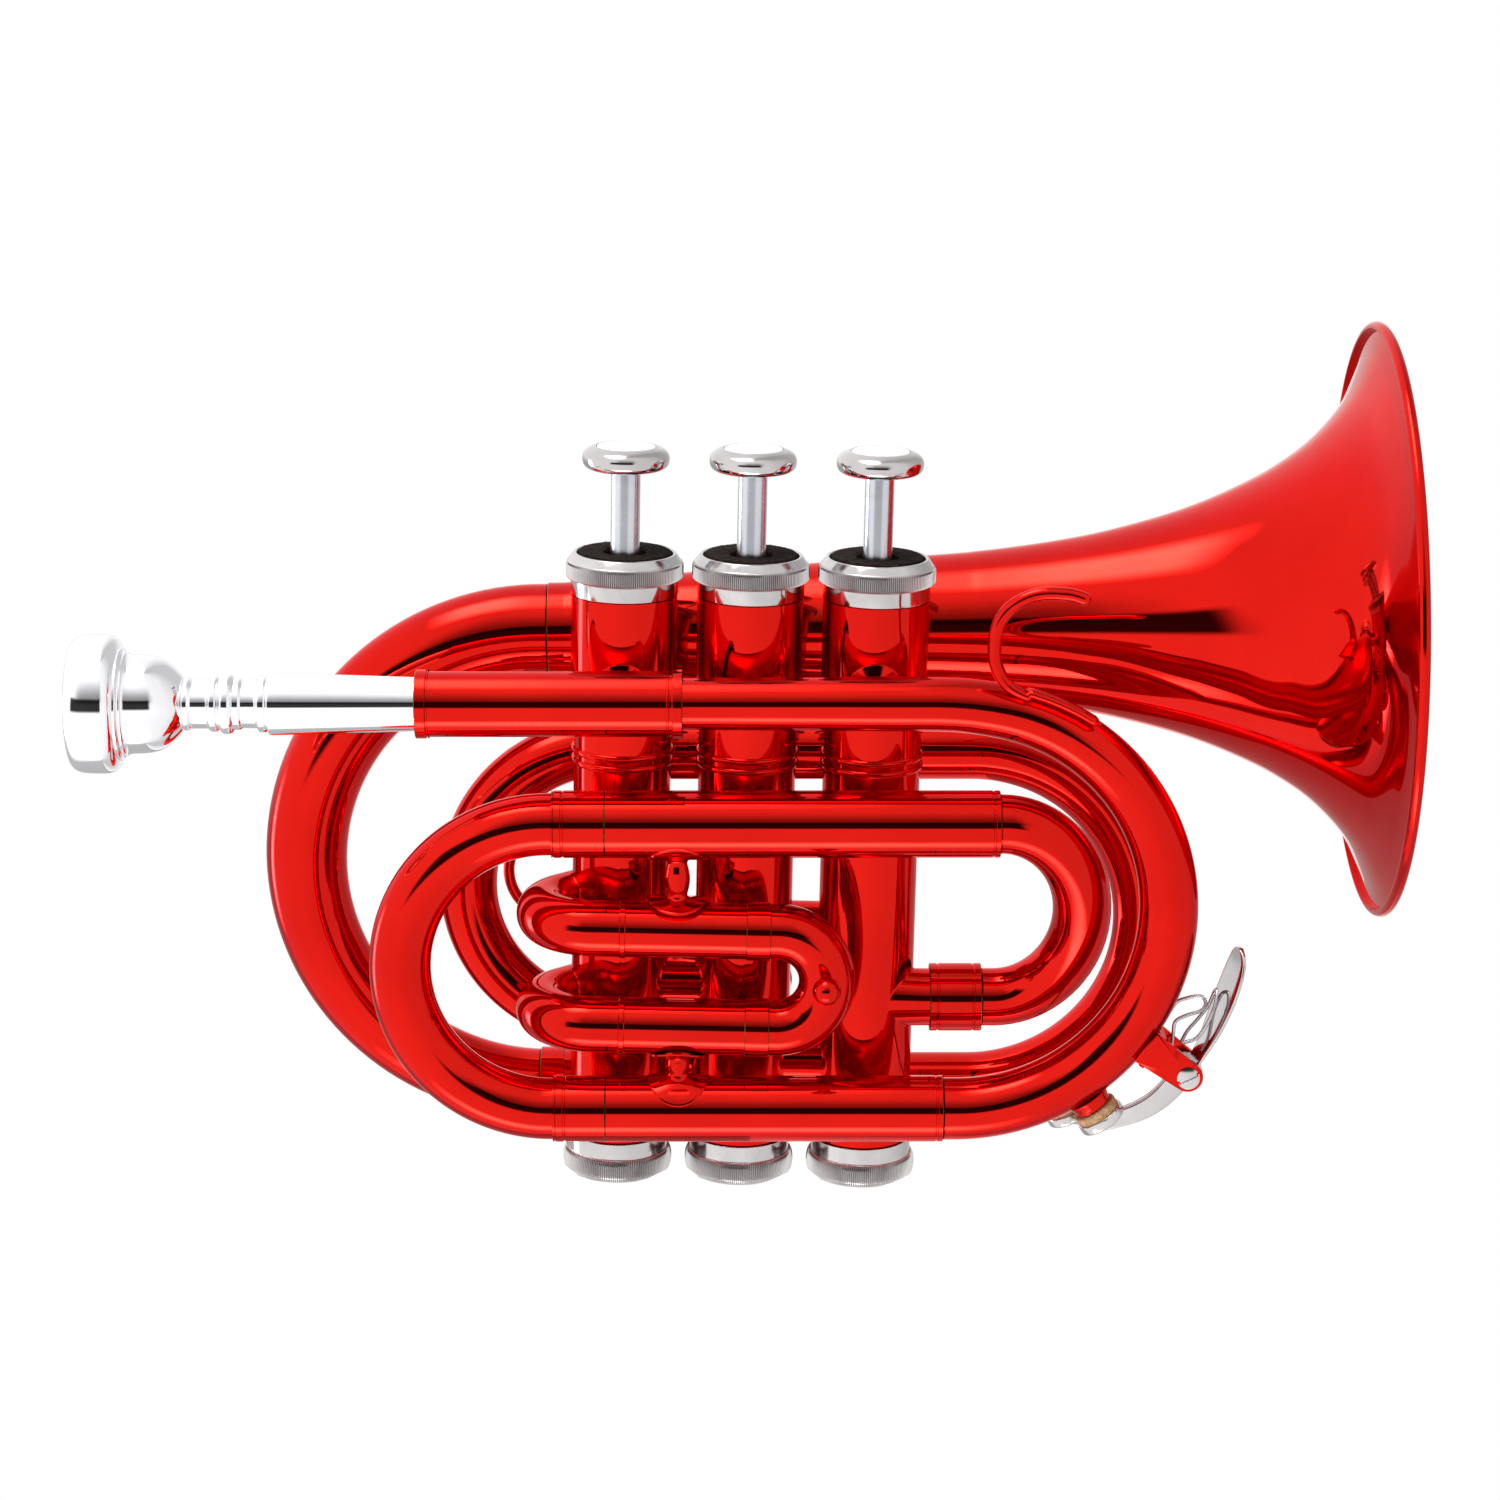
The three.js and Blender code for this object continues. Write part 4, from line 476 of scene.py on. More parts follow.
def product(tree, first, *others):
    """Values multiplied one after another."""
    for other in others:
        first = calculate(tree, "MULTIPLY", first, other)
    return first


def ramp(tree, value, stops):
    """A ramp of greys: pairs of position and brightness."""
    node = add_node(tree, "ShaderNodeValToRGB", Fac=value)
    elements = node.color_ramp.elements
    while len(elements) < len(stops):
        elements.new(0.5)
    for element, (position, level) in zip(elements, stops):
        element.position = position
    for element, (position, level) in zip(elements, stops):
        element.color = (level, level, level, 1)
    return node.outputs[0]


# %% [markdown]
# Sprayed lacquer keeps slow waves and a few dust nibs. Polished plate keeps smears, hairlines
# and tiny pits from handling. Felt and cork are matted. Painted pictures could show all that,
# but noise on Object coordinates stays sharp at any distance and can't slide.

# %% Effect groups
def lacquer_effect():
    """Slow waves of a sprayed coat, cloudy depth of colour, and a few dust nibs."""
    tree, given, out = new_group("sprayed_coat", [("Peel", 1.0), ("Nibs", 1.0)],
                                 ["Depth", "Haze", "Height"])
    spot = add_node(tree, "ShaderNodeTexCoord").outputs["Object"]
    peel = add_node(tree, "ShaderNodeTexNoise", Vector=spot, Scale=190.0, Detail=2.0, Roughness=0.4)
    cloud = add_node(tree, "ShaderNodeTexNoise", Vector=spot, Scale=34.0, Detail=3.0, Roughness=0.55)
    nib = add_node(tree, "ShaderNodeTexVoronoi", Vector=spot, Scale=420.0)
    dot = ramp(tree, nib.outputs["Distance"], [(0.0, 1.0), (0.05, 0.0)])
    rare = ramp(tree, cloud.outputs["Fac"], [(0.52, 0.0), (0.6, 1.0)])
    dust = product(tree, dot, rare, given.outputs["Nibs"])
    wave = product(tree, peel.outputs["Fac"], given.outputs["Peel"])
    tree.links.new(ramp(tree, cloud.outputs["Fac"], [(0.3, 0.0), (0.7, 1.0)]), out.inputs["Depth"])
    tree.links.new(dust, out.inputs["Haze"])
    tree.links.new(calculate(tree, "ADD", wave, product(tree, dust, 0.6)), out.inputs["Height"])
    return tree


def plate_effect():
    """Handling marks on polished plate: soft smears, hairlines and tiny pits."""
    tree, given, out = new_group("handled_plate", [("Hairlines", 1.0), ("Pits", 1.0)],
                                 ["Smear", "Line", "Height"])
    spot = add_node(tree, "ShaderNodeTexCoord").outputs["Object"]
    smear = add_node(tree, "ShaderNodeTexNoise", Vector=spot, Scale=85.0, Detail=4.0, Roughness=0.6,
                     Distortion=0.6)
    stretch = add_node(tree, "ShaderNodeMapping", Vector=spot, Scale=(300.0, 300.0, 6500.0))
    line = add_node(tree, "ShaderNodeTexNoise", Vector=stretch.outputs[0], Scale=1.0, Detail=2.0)
    pit = add_node(tree, "ShaderNodeTexVoronoi", Vector=spot, Scale=900.0)
    hole = ramp(tree, pit.outputs["Distance"], [(0.0, 1.0), (0.09, 0.0)])
    blotch = ramp(tree, smear.outputs["Fac"], [(0.55, 0.0), (0.68, 1.0)])
    pits = product(tree, hole, blotch, given.outputs["Pits"])
    lines = product(tree, line.outputs["Fac"], given.outputs["Hairlines"])
    tree.links.new(ramp(tree, smear.outputs["Fac"], [(0.35, 0.0), (0.7, 1.0)]), out.inputs["Smear"])
    tree.links.new(lines, out.inputs["Line"])
    tree.links.new(calculate(tree, "SUBTRACT", lines, pits), out.inputs["Height"])
    return tree


def fibre_effect():
    """Matted wool or cork: coarse clumps with fine fibres over them."""
    tree, given, out = new_group("matted_fibre", [("Clump", 700.0), ("Fibre", 5200.0)], ["Shade", "Height"])
    spot = add_node(tree, "ShaderNodeTexCoord").outputs["Object"]
    clump = add_node(tree, "ShaderNodeTexNoise", Vector=spot, Scale=given.outputs["Clump"], Detail=4.0)
    fibre = add_node(tree, "ShaderNodeTexNoise", Vector=spot, Scale=given.outputs["Fibre"], Detail=3.0,
                     Distortion=2.0)
    mixed = calculate(tree, "ADD", product(tree, clump.outputs["Fac"], 0.6),
                      product(tree, fibre.outputs["Fac"], 0.4))
    tree.links.new(ramp(tree, mixed, [(0.38, 0.0), (0.62, 1.0)]), out.inputs["Shade"])
    tree.links.new(mixed, out.inputs["Height"])
    return tree


effects = {"coat": lacquer_effect(), "plate": plate_effect(), "fibre": fibre_effect()}
print("effect groups:", sorted(effects))

# %% [markdown]
# Between two mirrors the small unevenness of each adds up, and a bounce off a bounce breaks up
# into specks, where the photograph shows a soft sheen. So such rays find a rougher surface.

# %% The material builder
REFLECTED_ROUGHNESS = 0.3


def material(name, effect, settings, dark, light, mask, roughness, rough_by, bump, **principled):
    """A Principled material. Its colour goes from dark to light by one mask of an effect group,
    its roughness between two values by another, and its bump follows the group's height. Rays
    that come from another reflection find it at least REFLECTED_ROUGHNESS rough, so that
    reflections of reflections stay calm instead of breaking up into specks. Inputs 6 and 7 and
    output 2 of the mix are its colours."""
    made = bpy.data.materials.new(name)
    made.use_nodes = True
    tree = made.node_tree
    shader = tree.nodes["Principled BSDF"]
    group = add_node(tree, "ShaderNodeGroup", {"node_tree": effects[effect]}, **settings)
    colour = add_node(tree, "ShaderNodeMix", {"data_type": "RGBA"}, Factor=group.outputs[mask])
    colour.inputs[6].default_value = (*dark, 1)
    colour.inputs[7].default_value = (*light, 1)
    tree.links.new(colour.outputs[2], shader.inputs["Base Color"])
    rough = add_node(tree, "ShaderNodeMapRange", Value=group.outputs[rough_by])
    rough.inputs["To Min"].default_value, rough.inputs["To Max"].default_value = roughness
    reflected = add_node(tree, "ShaderNodeLightPath").outputs["Is Glossy Ray"]
    least = product(tree, reflected, REFLECTED_ROUGHNESS)
    softer = calculate(tree, "MAXIMUM", rough.outputs[0], least)
    tree.links.new(softer, shader.inputs["Roughness"])
    strength, distance = bump
    relief = add_node(tree, "ShaderNodeBump", Height=group.outputs["Height"], Strength=strength,
                      Distance=distance)
    tree.links.new(relief.outputs[0], shader.inputs["Normal"])
    for key, value in principled.items():
        shader.inputs[key.replace("_", " ")].default_value = value
    finish[name] = made


# %% [markdown]
# ## Finishes
# The trumpet is polished brass under clear red lacquer. Glass-like layers could imitate that,
# but they are slow, and a red metal under a thin clear coat gives the same deep reflections.
# The nickel is a little warm, the silver neutral, and the bare brass edges are dull.

# %% Materials
material("red_lacquer", "coat", {"Peel": 0.06, "Nibs": 0.3},
         (0.60, 0.0040, 0.0006), (0.70, 0.0064, 0.0014), "Depth", (0.025, 0.06), "Haze", (0.2, 0.00004),
         Metallic=1.0, Coat_Weight=0.6, Coat_Roughness=0.02, Coat_IOR=1.18,
         Specular_Tint=(1.0, 0.32, 0.28, 1.0))
material("bare_edge", "plate", {"Hairlines": 0.6, "Pits": 0.5}, (0.10, 0.03, 0.006), (0.30, 0.13, 0.03),
         "Smear", (0.3, 0.5), "Line", (0.3, 0.00003), Metallic=1.0)
material("nickel_plate", "plate", {"Hairlines": 0.4, "Pits": 0.8}, (0.50, 0.475, 0.475), (0.64, 0.61, 0.61),
         "Smear", (0.06, 0.15), "Smear", (0.2, 0.00001), Metallic=1.0)
material("silver_plate", "plate", {"Hairlines": 0.15, "Pits": 0.2}, (0.86, 0.86, 0.88), (0.94, 0.93, 0.95),
         "Smear", (0.03, 0.06), "Smear", (0.1, 0.00001), Metallic=1.0)
material("stem_metal", "plate", {"Hairlines": 0.2, "Pits": 0.6}, (0.56, 0.57, 0.62), (0.66, 0.67, 0.71),
         "Smear", (0.2, 0.3), "Smear", (0.1, 0.00001), Metallic=1.0)
material("spring_steel", "plate", {"Hairlines": 1.0, "Pits": 0.4}, (0.48, 0.48, 0.50), (0.66, 0.66, 0.68),
         "Smear", (0.18, 0.35), "Line", (0.4, 0.00002), Metallic=1.0)
material("pearl", "plate", {"Hairlines": 0.1, "Pits": 0.0}, (0.62, 0.64, 0.71), (0.78, 0.78, 0.82),
         "Smear", (0.1, 0.2), "Smear", (0.1, 0.00002), Metallic=0.0, Coat_Weight=0.8, Coat_Roughness=0.05)
material("black_felt", "fibre", {"Clump": 900.0, "Fibre": 5200.0},
         (0.002, 0.0012, 0.001), (0.034, 0.020, 0.016), "Shade", (0.85, 1.0), "Shade", (1.0, 0.0004),
         Metallic=0.0, Specular_IOR_Level=0.15)
material("cork", "fibre", {"Clump": 1300.0, "Fibre": 4200.0}, (0.30, 0.15, 0.06), (0.62, 0.39, 0.20),
         "Shade", (0.7, 0.95), "Shade", (0.8, 0.0002), Metallic=0.0)
material("guide_nylon", "coat", {"Peel": 0.6, "Nibs": 0.3}, (0.68, 0.64, 0.54), (0.80, 0.76, 0.66),
         "Depth", (0.4, 0.55), "Depth", (0.3, 0.00004), Metallic=0.0)

print("finishes:", sorted(finish))

# %% [markdown]
# ## The valve row
# A valve's casing is a brass tube with two beads and a thicker upper half. It is turned on a
# lathe, and so is this one: a closed outline of its wall goes round the valve's axis. PITCH is
# the spacing of the valves, and CASING and BORE are a casing's two radii.

# %% Valve casings
PITCH, CASING, BORE = 25.1, 9.75, 8.6


def valve_foot(number):
    """Where the axis of a valve meets the level of the bottom caps' undersides."""
    return np.array([(number - 2) * PITCH, 0.0, 0.0])


def wall_of(number):
    """A casing's outside in the valve row's own upright axes."""
    return valve_foot(number), Z, CASING


def leaned_wall(number, radius=CASING):
    """The same casing where it stands in the whole trumpet."""
    return lean(valve_foot(number)), lean(Z), radius


def casing_outline():
    """The wall of a casing as a closed outline: outside going up, inside coming down."""
    outside = [(9.0, 2.2), (9.0, 9.4), (9.8, 9.4), (9.8, 86.9)]
    beads = [bead(9.8, 88.4, 0.7, 0.55), [(9.8, 89.3)], bead(9.8, 90.6, 0.7, 0.55)]
    upper = [(9.8, 92.0), (9.8, 99.9), (10.58, 100.8), (10.58, 122.35), (9.75, 122.35), (9.75, 126.9)]
    return np.concatenate([outside, *beads, upper, [(BORE, 126.9), (BORE, 2.2)]])


for number in (1, 2, 3):
    wall = lean(turned(casing_outline(), valve_foot(number), Z, 160))
    piece(f"casing_{number}", wall, "horn", "red_lacquer", f"valve_casing_{number}", closed=True)
tell("valve casings")

# %% [markdown]
# The caps at both ends of a casing are knurled, so that fingers can grip them. A displacement
# map would cut the flutes only in the picture. Here the outline is turned with seven columns for
# each of its flutes, and the radius follows a wave.

# %% Knurled caps
FLUTES, FLUTE_DEPTH, FLUTE_FADE = 170, 0.45, 0.35
CAP_COLUMNS = 7 * FLUTES


def knurl(profile, low, high):
    """How far the flutes cut into the outermost 1.2 mm: their depth times a raised cosine of the
    angle, faded in and out at the two ends of the knurled band."""
    height, radius = profile[:, 1], profile[:, 0]
    fade = np.clip((height - low) / FLUTE_FADE, 0, 1) * np.clip((high - height) / FLUTE_FADE, 0, 1)
    fade = fade * (radius > radius.max() - 1.2)
    angle = np.linspace(0, 2 * math.pi, CAP_COLUMNS, endpoint=False)
    flute = 0.5 - 0.5 * np.cos(FLUTES * angle)
    return -FLUTE_DEPTH * fade[:, None] * flute


barrel = through([(10.3, 1.05), (10.75, 1.45), (11.0, 2.1), (11.13, 3.0), (11.15, 3.8), (11.05, 4.7),
                  (10.8, 5.4), (10.5, 5.72)], 4)
neck_line = soften([(10.3, 5.8), (10.2, 5.9), (10.2, 9.15), (9.45, 9.15), (9.35, 1.7), (0.5, 1.6)], 0.12, 3)
cap_foot = np.concatenate([[(0.3, 0.0), (7.0, 0.0), (7.3, 0.05)], barrel, neck_line])
band = through([(10.95, 125.62), (11.35, 125.72), (11.62, 126.05), (11.7, 126.6), (11.7, 127.4),
                (11.7, 128.2), (11.62, 128.8), (11.4, 129.12)], 3)
lower_edge = [(9.95, 122.55), (10.74, 122.55), (10.74, 125.5)]
bevel = soften([(11.3, 129.2), (11.2, 129.28), (10.2, 130.75), (9.75, 130.8), (9.55, 130.6), (9.5, 128.55),
                (5.1, 128.55), (5.1, 127.35), (9.95, 127.35)], 0.12, 3)
cap_top = np.concatenate([soften(lower_edge, 0.12, 3), band, bevel])
caps = (("foot_cap", "bottom_cap", cap_foot, 1.0, 5.85, False),
        ("upper_cap", "top_cap", cap_top, 125.6, 129.25, True))
for number in (1, 2, 3):
    for name, node, profile, low, high, closed in caps:
        rings = turned(profile, valve_foot(number), Z, CAP_COLUMNS, knurl(profile, low, high))
        piece(f"{name}_{number}", lean(rings), "horn", "nickel_plate", f"{node}_{number}", closed=closed)
tell("knurled caps")

# %% [markdown]
# On each upper cap lies a black felt washer that quietens the button. Hair strands would be too
# fine to see, so its upper part is only roughened, by a small random amount at every point.

# %% Felt washers
FELT_COLUMNS, FELT_FUZZ = 220, 0.05
felt_rows = soften([(4.3, 128.75), (9.3, 128.75), (9.35, 130.4), (9.1, 131.05), (5.0, 131.1), (4.2, 130.7)],
                   0.4, 5, closed=True)
for number in (1, 2, 3):
    rng = np.random.default_rng(number)
    fuzz = rng.normal(0, FELT_FUZZ, (len(felt_rows), FELT_COLUMNS)) * (felt_rows[:, 1:] > 130.0)
    rings = turned(felt_rows, valve_foot(number), Z, FELT_COLUMNS, fuzz) + fuzz[..., None] * 0.8 * Z
    piece(f"felt_{number}", lean(rings), "horn", "black_felt", f"cap_felt_{number}", closed=True, crisp=80)
tell("felt washers")

# %% [markdown]
# A stem joins each piston to its button, a nickelled shell with a disc of pearl let into it.
# The disc is a piece of its own, so that a sharp line parts the two finishes.

# %% Stems, buttons and pearls
button = np.concatenate([
    soften([(3.1, 147.5), (6.2, 147.5), (6.6, 147.53)], 0.2, 3),
    through([(7.2, 147.62), (7.95, 147.98), (8.45, 148.6), (8.65, 149.5), (8.55, 150.35), (8.1, 151.1),
             (7.3, 151.65), (6.4, 151.98)], 5),
    soften([(6.0, 152.1), (5.95, 152.1), (5.9, 151.8), (0.3, 151.8)], 0.1, 3)])
inlay = soften([(0.3, 151.82), (5.82, 151.82), (5.85, 152.06), (5.6, 152.16), (3.0, 152.24),
                (0.3, 152.26)], 0.12, 3)
stem = soften([(0.4, 126.0), (4.1, 126.0), (4.1, 127.0), (2.9, 127.1), (2.9, 149.8), (0.4, 149.9)], 0.2, 3)
for number in (1, 2, 3):
    foot = valve_foot(number)
    body = f"valve_{number}"
    rings = lean(turned(stem, foot, Z, 64))
    piece(f"stem_{number}", rings, body, "nickel_plate", f"valve_stem_{number}", look="stem_metal")
    rings = lean(turned(button, foot, Z, 128))
    piece(f"button_{number}", rings, body, "nickel_plate", f"finger_button_{number}")
    piece(f"inlay_{number}", lean(turned(inlay, foot, Z, 96)), body, "nickel_plate", look="pearl")
tell("stems, buttons and pearls")


# %% [markdown]
# ## Knuckles and valve slides
# Short knuckles carry the air between neighbouring casings. A Boolean could join such a tube to
# a round wall, but it leaves a hard line, and on the real one the line is filled with solder. So
# the knuckle's end rings are laid on the casing, and a small fillet runs out on it.

# %% Knuckles
def knuckle(left, height):
    """A tube between two casings, built from its middle out to a fillet on each."""
    centre = np.array([(left - 1.5) * PITCH, 0.0, height])
    out, ways = [], ((X, wall_of(left + 1)), (-X, wall_of(left)))
    for way, wall in ways:
        skin = landing(centre, way, Y, Z, fillet(5.75, 0.8, 7), wall, 72)
        hole = landing(centre, way, Y, Z, [(4.7, 0.0)], wall, 72)
        out.append((skin, hole))
    (right, right_hole), (other, other_hole) = out
    rings = np.concatenate([other[::-1], right, right_hole, other_hole])
    name = f"knuckle_{left}_{left + 1}"
    piece(name + "_tube", lean(rings), "horn", "red_lacquer", name, closed=True)


knuckle(1, 42.4)
knuckle(2, 25.5)
tell("knuckles")


# %% [markdown]
# A valve slide is a bow with two inner legs that run in two fixed sleeves. The first slide turns
# in front of the valves, the second points backwards, and the third runs behind them. Bow and
# legs are separate pieces, because the legs are bare metal and show when the slide is pulled.
# Each sleeve of the first slide ends in a thin lip about 1 mm long in front of its end face,
# which the crook's ferrule covers at rest. FRONT is the plane of the straight tubes in front.

# %% Sleeves and crooks of the valve slides
FRONT = -20.5
FIRST_TOP, FIRST_LOW = 58.85, 38.75


def crook(name, start, heading, axis, spread, sizes, body, legs):
    """A slide's visible half, ferrule, bow and ferrule, and its two inner legs."""
    ferrule, bow, ferrule_length, before_bow = sizes
    run = Run(start, heading, ferrule, bow - 0.75)
    run.straight(ferrule_length).step(bow).straight(before_bow)
    run.bend(axis, spread / 2, 180).straight(before_bow).step(ferrule).straight(ferrule_length)
    tube(name + "_bow", run, axis, body, "red_lacquer", body, turn=lean)
    leg_radius, leg_length = legs
    down = np.cross(unit(axis), unit(heading)) * spread
    for label, offset in (("a", 0 * down), ("b", down)):
        base = np.asarray(start) + offset - leg_length * unit(heading)
        leg = Run(base, heading, leg_radius, leg_radius - 0.6).straight(leg_length + 2.0)
        tube(f"{name}_leg_{label}", leg, axis, body, "nickel_plate", body, turn=lean, sides=48)


for label, height in (("upper", FIRST_TOP), ("lower", FIRST_LOW)):
    sleeve = Run((-29.8, 0, height), -X, 5.6, 5.05).bend(Z, 10.25, 180)
    sleeve.straight(5.23).ring(1.2, 0.25).straight(23.8)
    face = sleeve.place
    sleeve.straight(1.1).place = face
    tube(f"first_sleeve_{label}", sleeve, Z, "horn", "red_lacquer", f"first_slide_sleeve_{label}",
         turn=lean, start_on=wall_of(1))
crook("first_crook", (0.56, FRONT, FIRST_TOP), X, Y, FIRST_TOP - FIRST_LOW, (5.82, 5.6, 4.85, 1.3),
      "first_slide", (4.75, 24.6))

knob = soften([(1.5, 0.0), (1.5, 1.2), (1.15, 2.2), (1.5, 3.0)], 0.4, 3)
ball_angle = np.linspace(math.radians(-55), math.radians(86), 22)
ball = np.stack([2.8 * np.cos(ball_angle), 5.2 + 2.8 * np.sin(ball_angle)], 1)
rings = turned(np.concatenate([knob, ball]), np.array([16.5, -25.4, 50.0]), -Y, 64)
piece("first_crook_knob", lean(rings), "first_slide", "red_lacquer", "first_slide")

for label, x, height in (("lower", -5, 26.2), ("upper", 5, 34.2)):
    outlet = Run((x, 0, height), Y, 5.3, 4.7).straight(23.8).ring(1.2, 0.3)
    tube(f"second_sleeve_{label}", outlet, Z, "horn", "red_lacquer", "valve_casing_2",
         turn=lean, start_on=wall_of(2))
slant = np.array([10.0, 0.0, 8.0])
crook("second_crook", (-5, 25.14, 26.2), Y, np.cross(Y, slant), float(np.linalg.norm(slant)),
      (5.55, 5.3, 4.1, 3.75), "second_slide", (4.25, 12.8))

for label, height in (("upper", 69.2), ("lower", 46.3)):
    sleeve = Run((PITCH, 0, height), Y, 5.75, 5.15).straight(11.75).bend(Z, 10.25, 90)
    sleeve.straight(12.65).ring(1.2, 0.3)
    tube(f"third_sleeve_{label}", sleeve, Z, "horn", "red_lacquer", f"third_slide_sleeve_{label}",
         turn=lean, start_on=wall_of(3))
crook("third_crook", (0.86, 22, 69.2), -X, -Y, 22.9, (5.75, 5.15, 5.1, 7.06), "third_slide",
      (4.85, 13.6))
tell("sleeves and crooks")

# %% [markdown]
# A finger of the left hand pulls the third slide by a ring of wire. A torus primitive would do
# too, but an array of points leans like the other pieces: a small circle goes round a large one.

# %% Finger ring of the third slide
RING_RADIUS, RING_WIRE = 10.1, 1.15
ring_centre = np.array([-39.0, 22.0, 57.75])
wire_angle = np.linspace(0, 2 * math.pi, 20, endpoint=False)[:, None, None]
rings = (RING_RADIUS + RING_WIRE * np.cos(wire_angle)) * spokes(X, Z, 96)
rings = ring_centre + rings + RING_WIRE * np.sin(wire_angle) * Y
piece("third_crook_ring", lean(rings), "third_slide", "red_lacquer", "third_slide", closed=True, crisp=80)
stub = soften([(2.9, -0.6), (2.6, 0.6), (1.7, 1.4), (1.6, 2.7), (1.4, 3.3)], 0.4, 3)
rings = turned(stub, np.array([-27.9, 22.0, 57.75]), -X, 40)
piece("third_crook_stub", lean(rings), "third_slide", "red_lacquer", "third_slide")
tell("finger ring")

# %% [markdown]
# ## Mouthpiece, receiver and leadpipe
# The mouthpiece is silver-plated and turned from one bar, inside and out, so one closed outline
# goes round its axis: the rim, the cup with its beads, the shank, and the bore back to the rim.
# PIPE is the height of its axis and of the leadpipe's.

# %% Mouthpiece and receiver
PIPE = 105.3
outside = through([(9.6, 2.1), (10.6, 1.72), (11.5, 1.7), (12.4, 2.05), (13.1, 2.95), (13.45, 4.3),
                   (13.56, 6.0), (13.56, 8.2), (13.45, 9.2), (13.1, 10.0), (12.5, 10.6), (11.7, 10.95)], 5)
shoulder = soften([(11.2, 11.0), (11.1, 11.05), (11.1, 11.5), (10.75, 11.7), (10.5, 11.75), (10.3, 12.05),
                   (10.25, 12.4), (10.05, 12.5)], 0.12, 3)
cup = through([(9.85, 12.8), (9.72, 13.4), (9.66, 14.6), (9.6, 16.0), (9.45, 17.3), (9.15, 18.5), (8.6, 19.8),
               (7.75, 21.0), (6.8, 22.0), (5.9, 22.8), (5.3, 23.25)], 5)
neck = soften([(4.95, 23.35), (5.0, 23.5), (5.18, 23.7), (5.18, 24.5), (4.85, 25.1), (4.78, 25.3),
               (4.78, 28.3), (5.0, 28.4), (5.43, 28.9), (5.43, 30.0), (5.05, 30.4), (5.05, 30.6),
               (5.5, 30.75), (5.86, 31.3), (5.86, 32.5), (5.5, 33.1), (5.04, 33.2), (5.04, 34.5),
               (4.78, 34.8), (4.7, 35.0), (4.7, 37.6), (4.9, 37.9), (5.5, 38.2), (5.53, 39.4),
               (5.35, 39.8), (5.4, 40.0), (6.05, 40.15), (6.11, 40.5), (5.3, 68.5), (4.85, 86.95)], 0.25, 3)
bore_line = through([(4.3, 87.1), (3.2, 66.0), (2.2, 40.0), (1.9, 24.0), (1.9, 13.0), (2.6, 11.6), (4.6, 9.8),
                     (6.6, 6.6), (7.9, 4.2), (8.4, 3.2), (9.0, 2.4)], 5)
profile = np.concatenate([outside, shoulder, cup, neck, bore_line])
rings = turned(profile, np.array([-131.45, FRONT, PIPE]), X, 128)
piece("mouthpiece_body", rings, "mouthpiece", "silver_plate", "mouthpiece", closed=True, crisp=50)

receiver = Run((-62.75, FRONT, PIPE), X, 6.75, 5.78).straight(2.2).ring(0.35, -0.3).step(6.45, bare=False)
receiver.straight(46.4).ring(0.5, 0.12).straight(0.6).step(6.8, bare=False).straight(2.0)
tube("receiver_tube", receiver, Z, "horn", "red_lacquer", "mouthpiece_receiver")
tell("mouthpiece and receiver")

# %% [markdown]
# The leadpipe widens all the way round its bow to the lower sleeve. A plain half circle wouldn't
# meet the photograph's outline, so it starts to bend gently over the EASE angle and goes on in
# one round bow, whose radius follows from the heights of its two ends. DRAIN_AT and KEY_AT are
# angles on the bow, those of the front nipple and of the water key's pivot. SEAM is the gap
# between two tubes that meet end to end.

# %% Leadpipe with its bow
TUNING_TOP, TUNING_LOW = 80.9, 21.5
EASE, EASE_RADIUS = math.radians(12), 65.0
BOW_RADIUS = (PIPE - TUNING_LOW - EASE_RADIUS * (1 - math.cos(EASE))) / (1 + math.cos(EASE))
BOW_X = 38.85 + (EASE_RADIUS - BOW_RADIUS) * math.sin(EASE)
BOW_Z = TUNING_LOW + BOW_RADIUS
DRAIN_AT, KEY_AT = -56.0, -36.0
SEAM = 0.13


def level_way(degrees):
    """A unit vector in the plane of X and Z, at an angle from X towards Z."""
    a = math.radians(degrees)
    return np.array([math.cos(a), 0.0, math.sin(a)])


def on_bow(degrees, reach):
    """A point at an angle about the centre of the leadpipe's bow."""
    a = np.radians(degrees)
    return np.stack(np.broadcast_arrays(BOW_X + reach * np.cos(a), FRONT, BOW_Z + reach * np.sin(a)), -1)


leadpipe = Run((-15.8, FRONT, PIPE), X, 5.05, 4.45)
leadpipe.straight(54.65, 5.4).bend(Y, EASE_RADIUS, 12, 5.5).bend(Y, BOW_RADIUS, 168, 6.25)
leadpipe.straight(BOW_X - 41.05 - SEAM)
tube("leadpipe_tube", leadpipe, Y, "horn", "red_lacquer", "leadpipe", sides=80)


def nipple(name, foot_point, way, length, node):
    """The drain nipple: a short flared tube with a drilled end."""
    shape = soften([(1.4, -0.6), (4.5, -0.6), (4.05, 0.5), (3.8, 1.3), (3.85, length), (2.4, length + 0.05),
                    (1.4, length - 0.2)], 0.3, 3, closed=True)
    piece(name, turned(shape, foot_point, way, 64), "horn", "red_lacquer", node, closed=True)


front_way = level_way(DRAIN_AT)
nipple("front_nipple", on_bow(DRAIN_AT, BOW_RADIUS + 6.0), front_way, 1.8, "leadpipe")
tell("leadpipe, bow radius " + str(round(BOW_RADIUS, 2)))

# %% [markdown]
# The main tuning slide is a long bow on two bare legs, with pairs of grooved ferrules. It is one
# run of tube, as it is one soldered piece on the real trumpet, and the grooves are narrow rings
# of a smaller radius, which catch a line of light that a bump map couldn't bend.

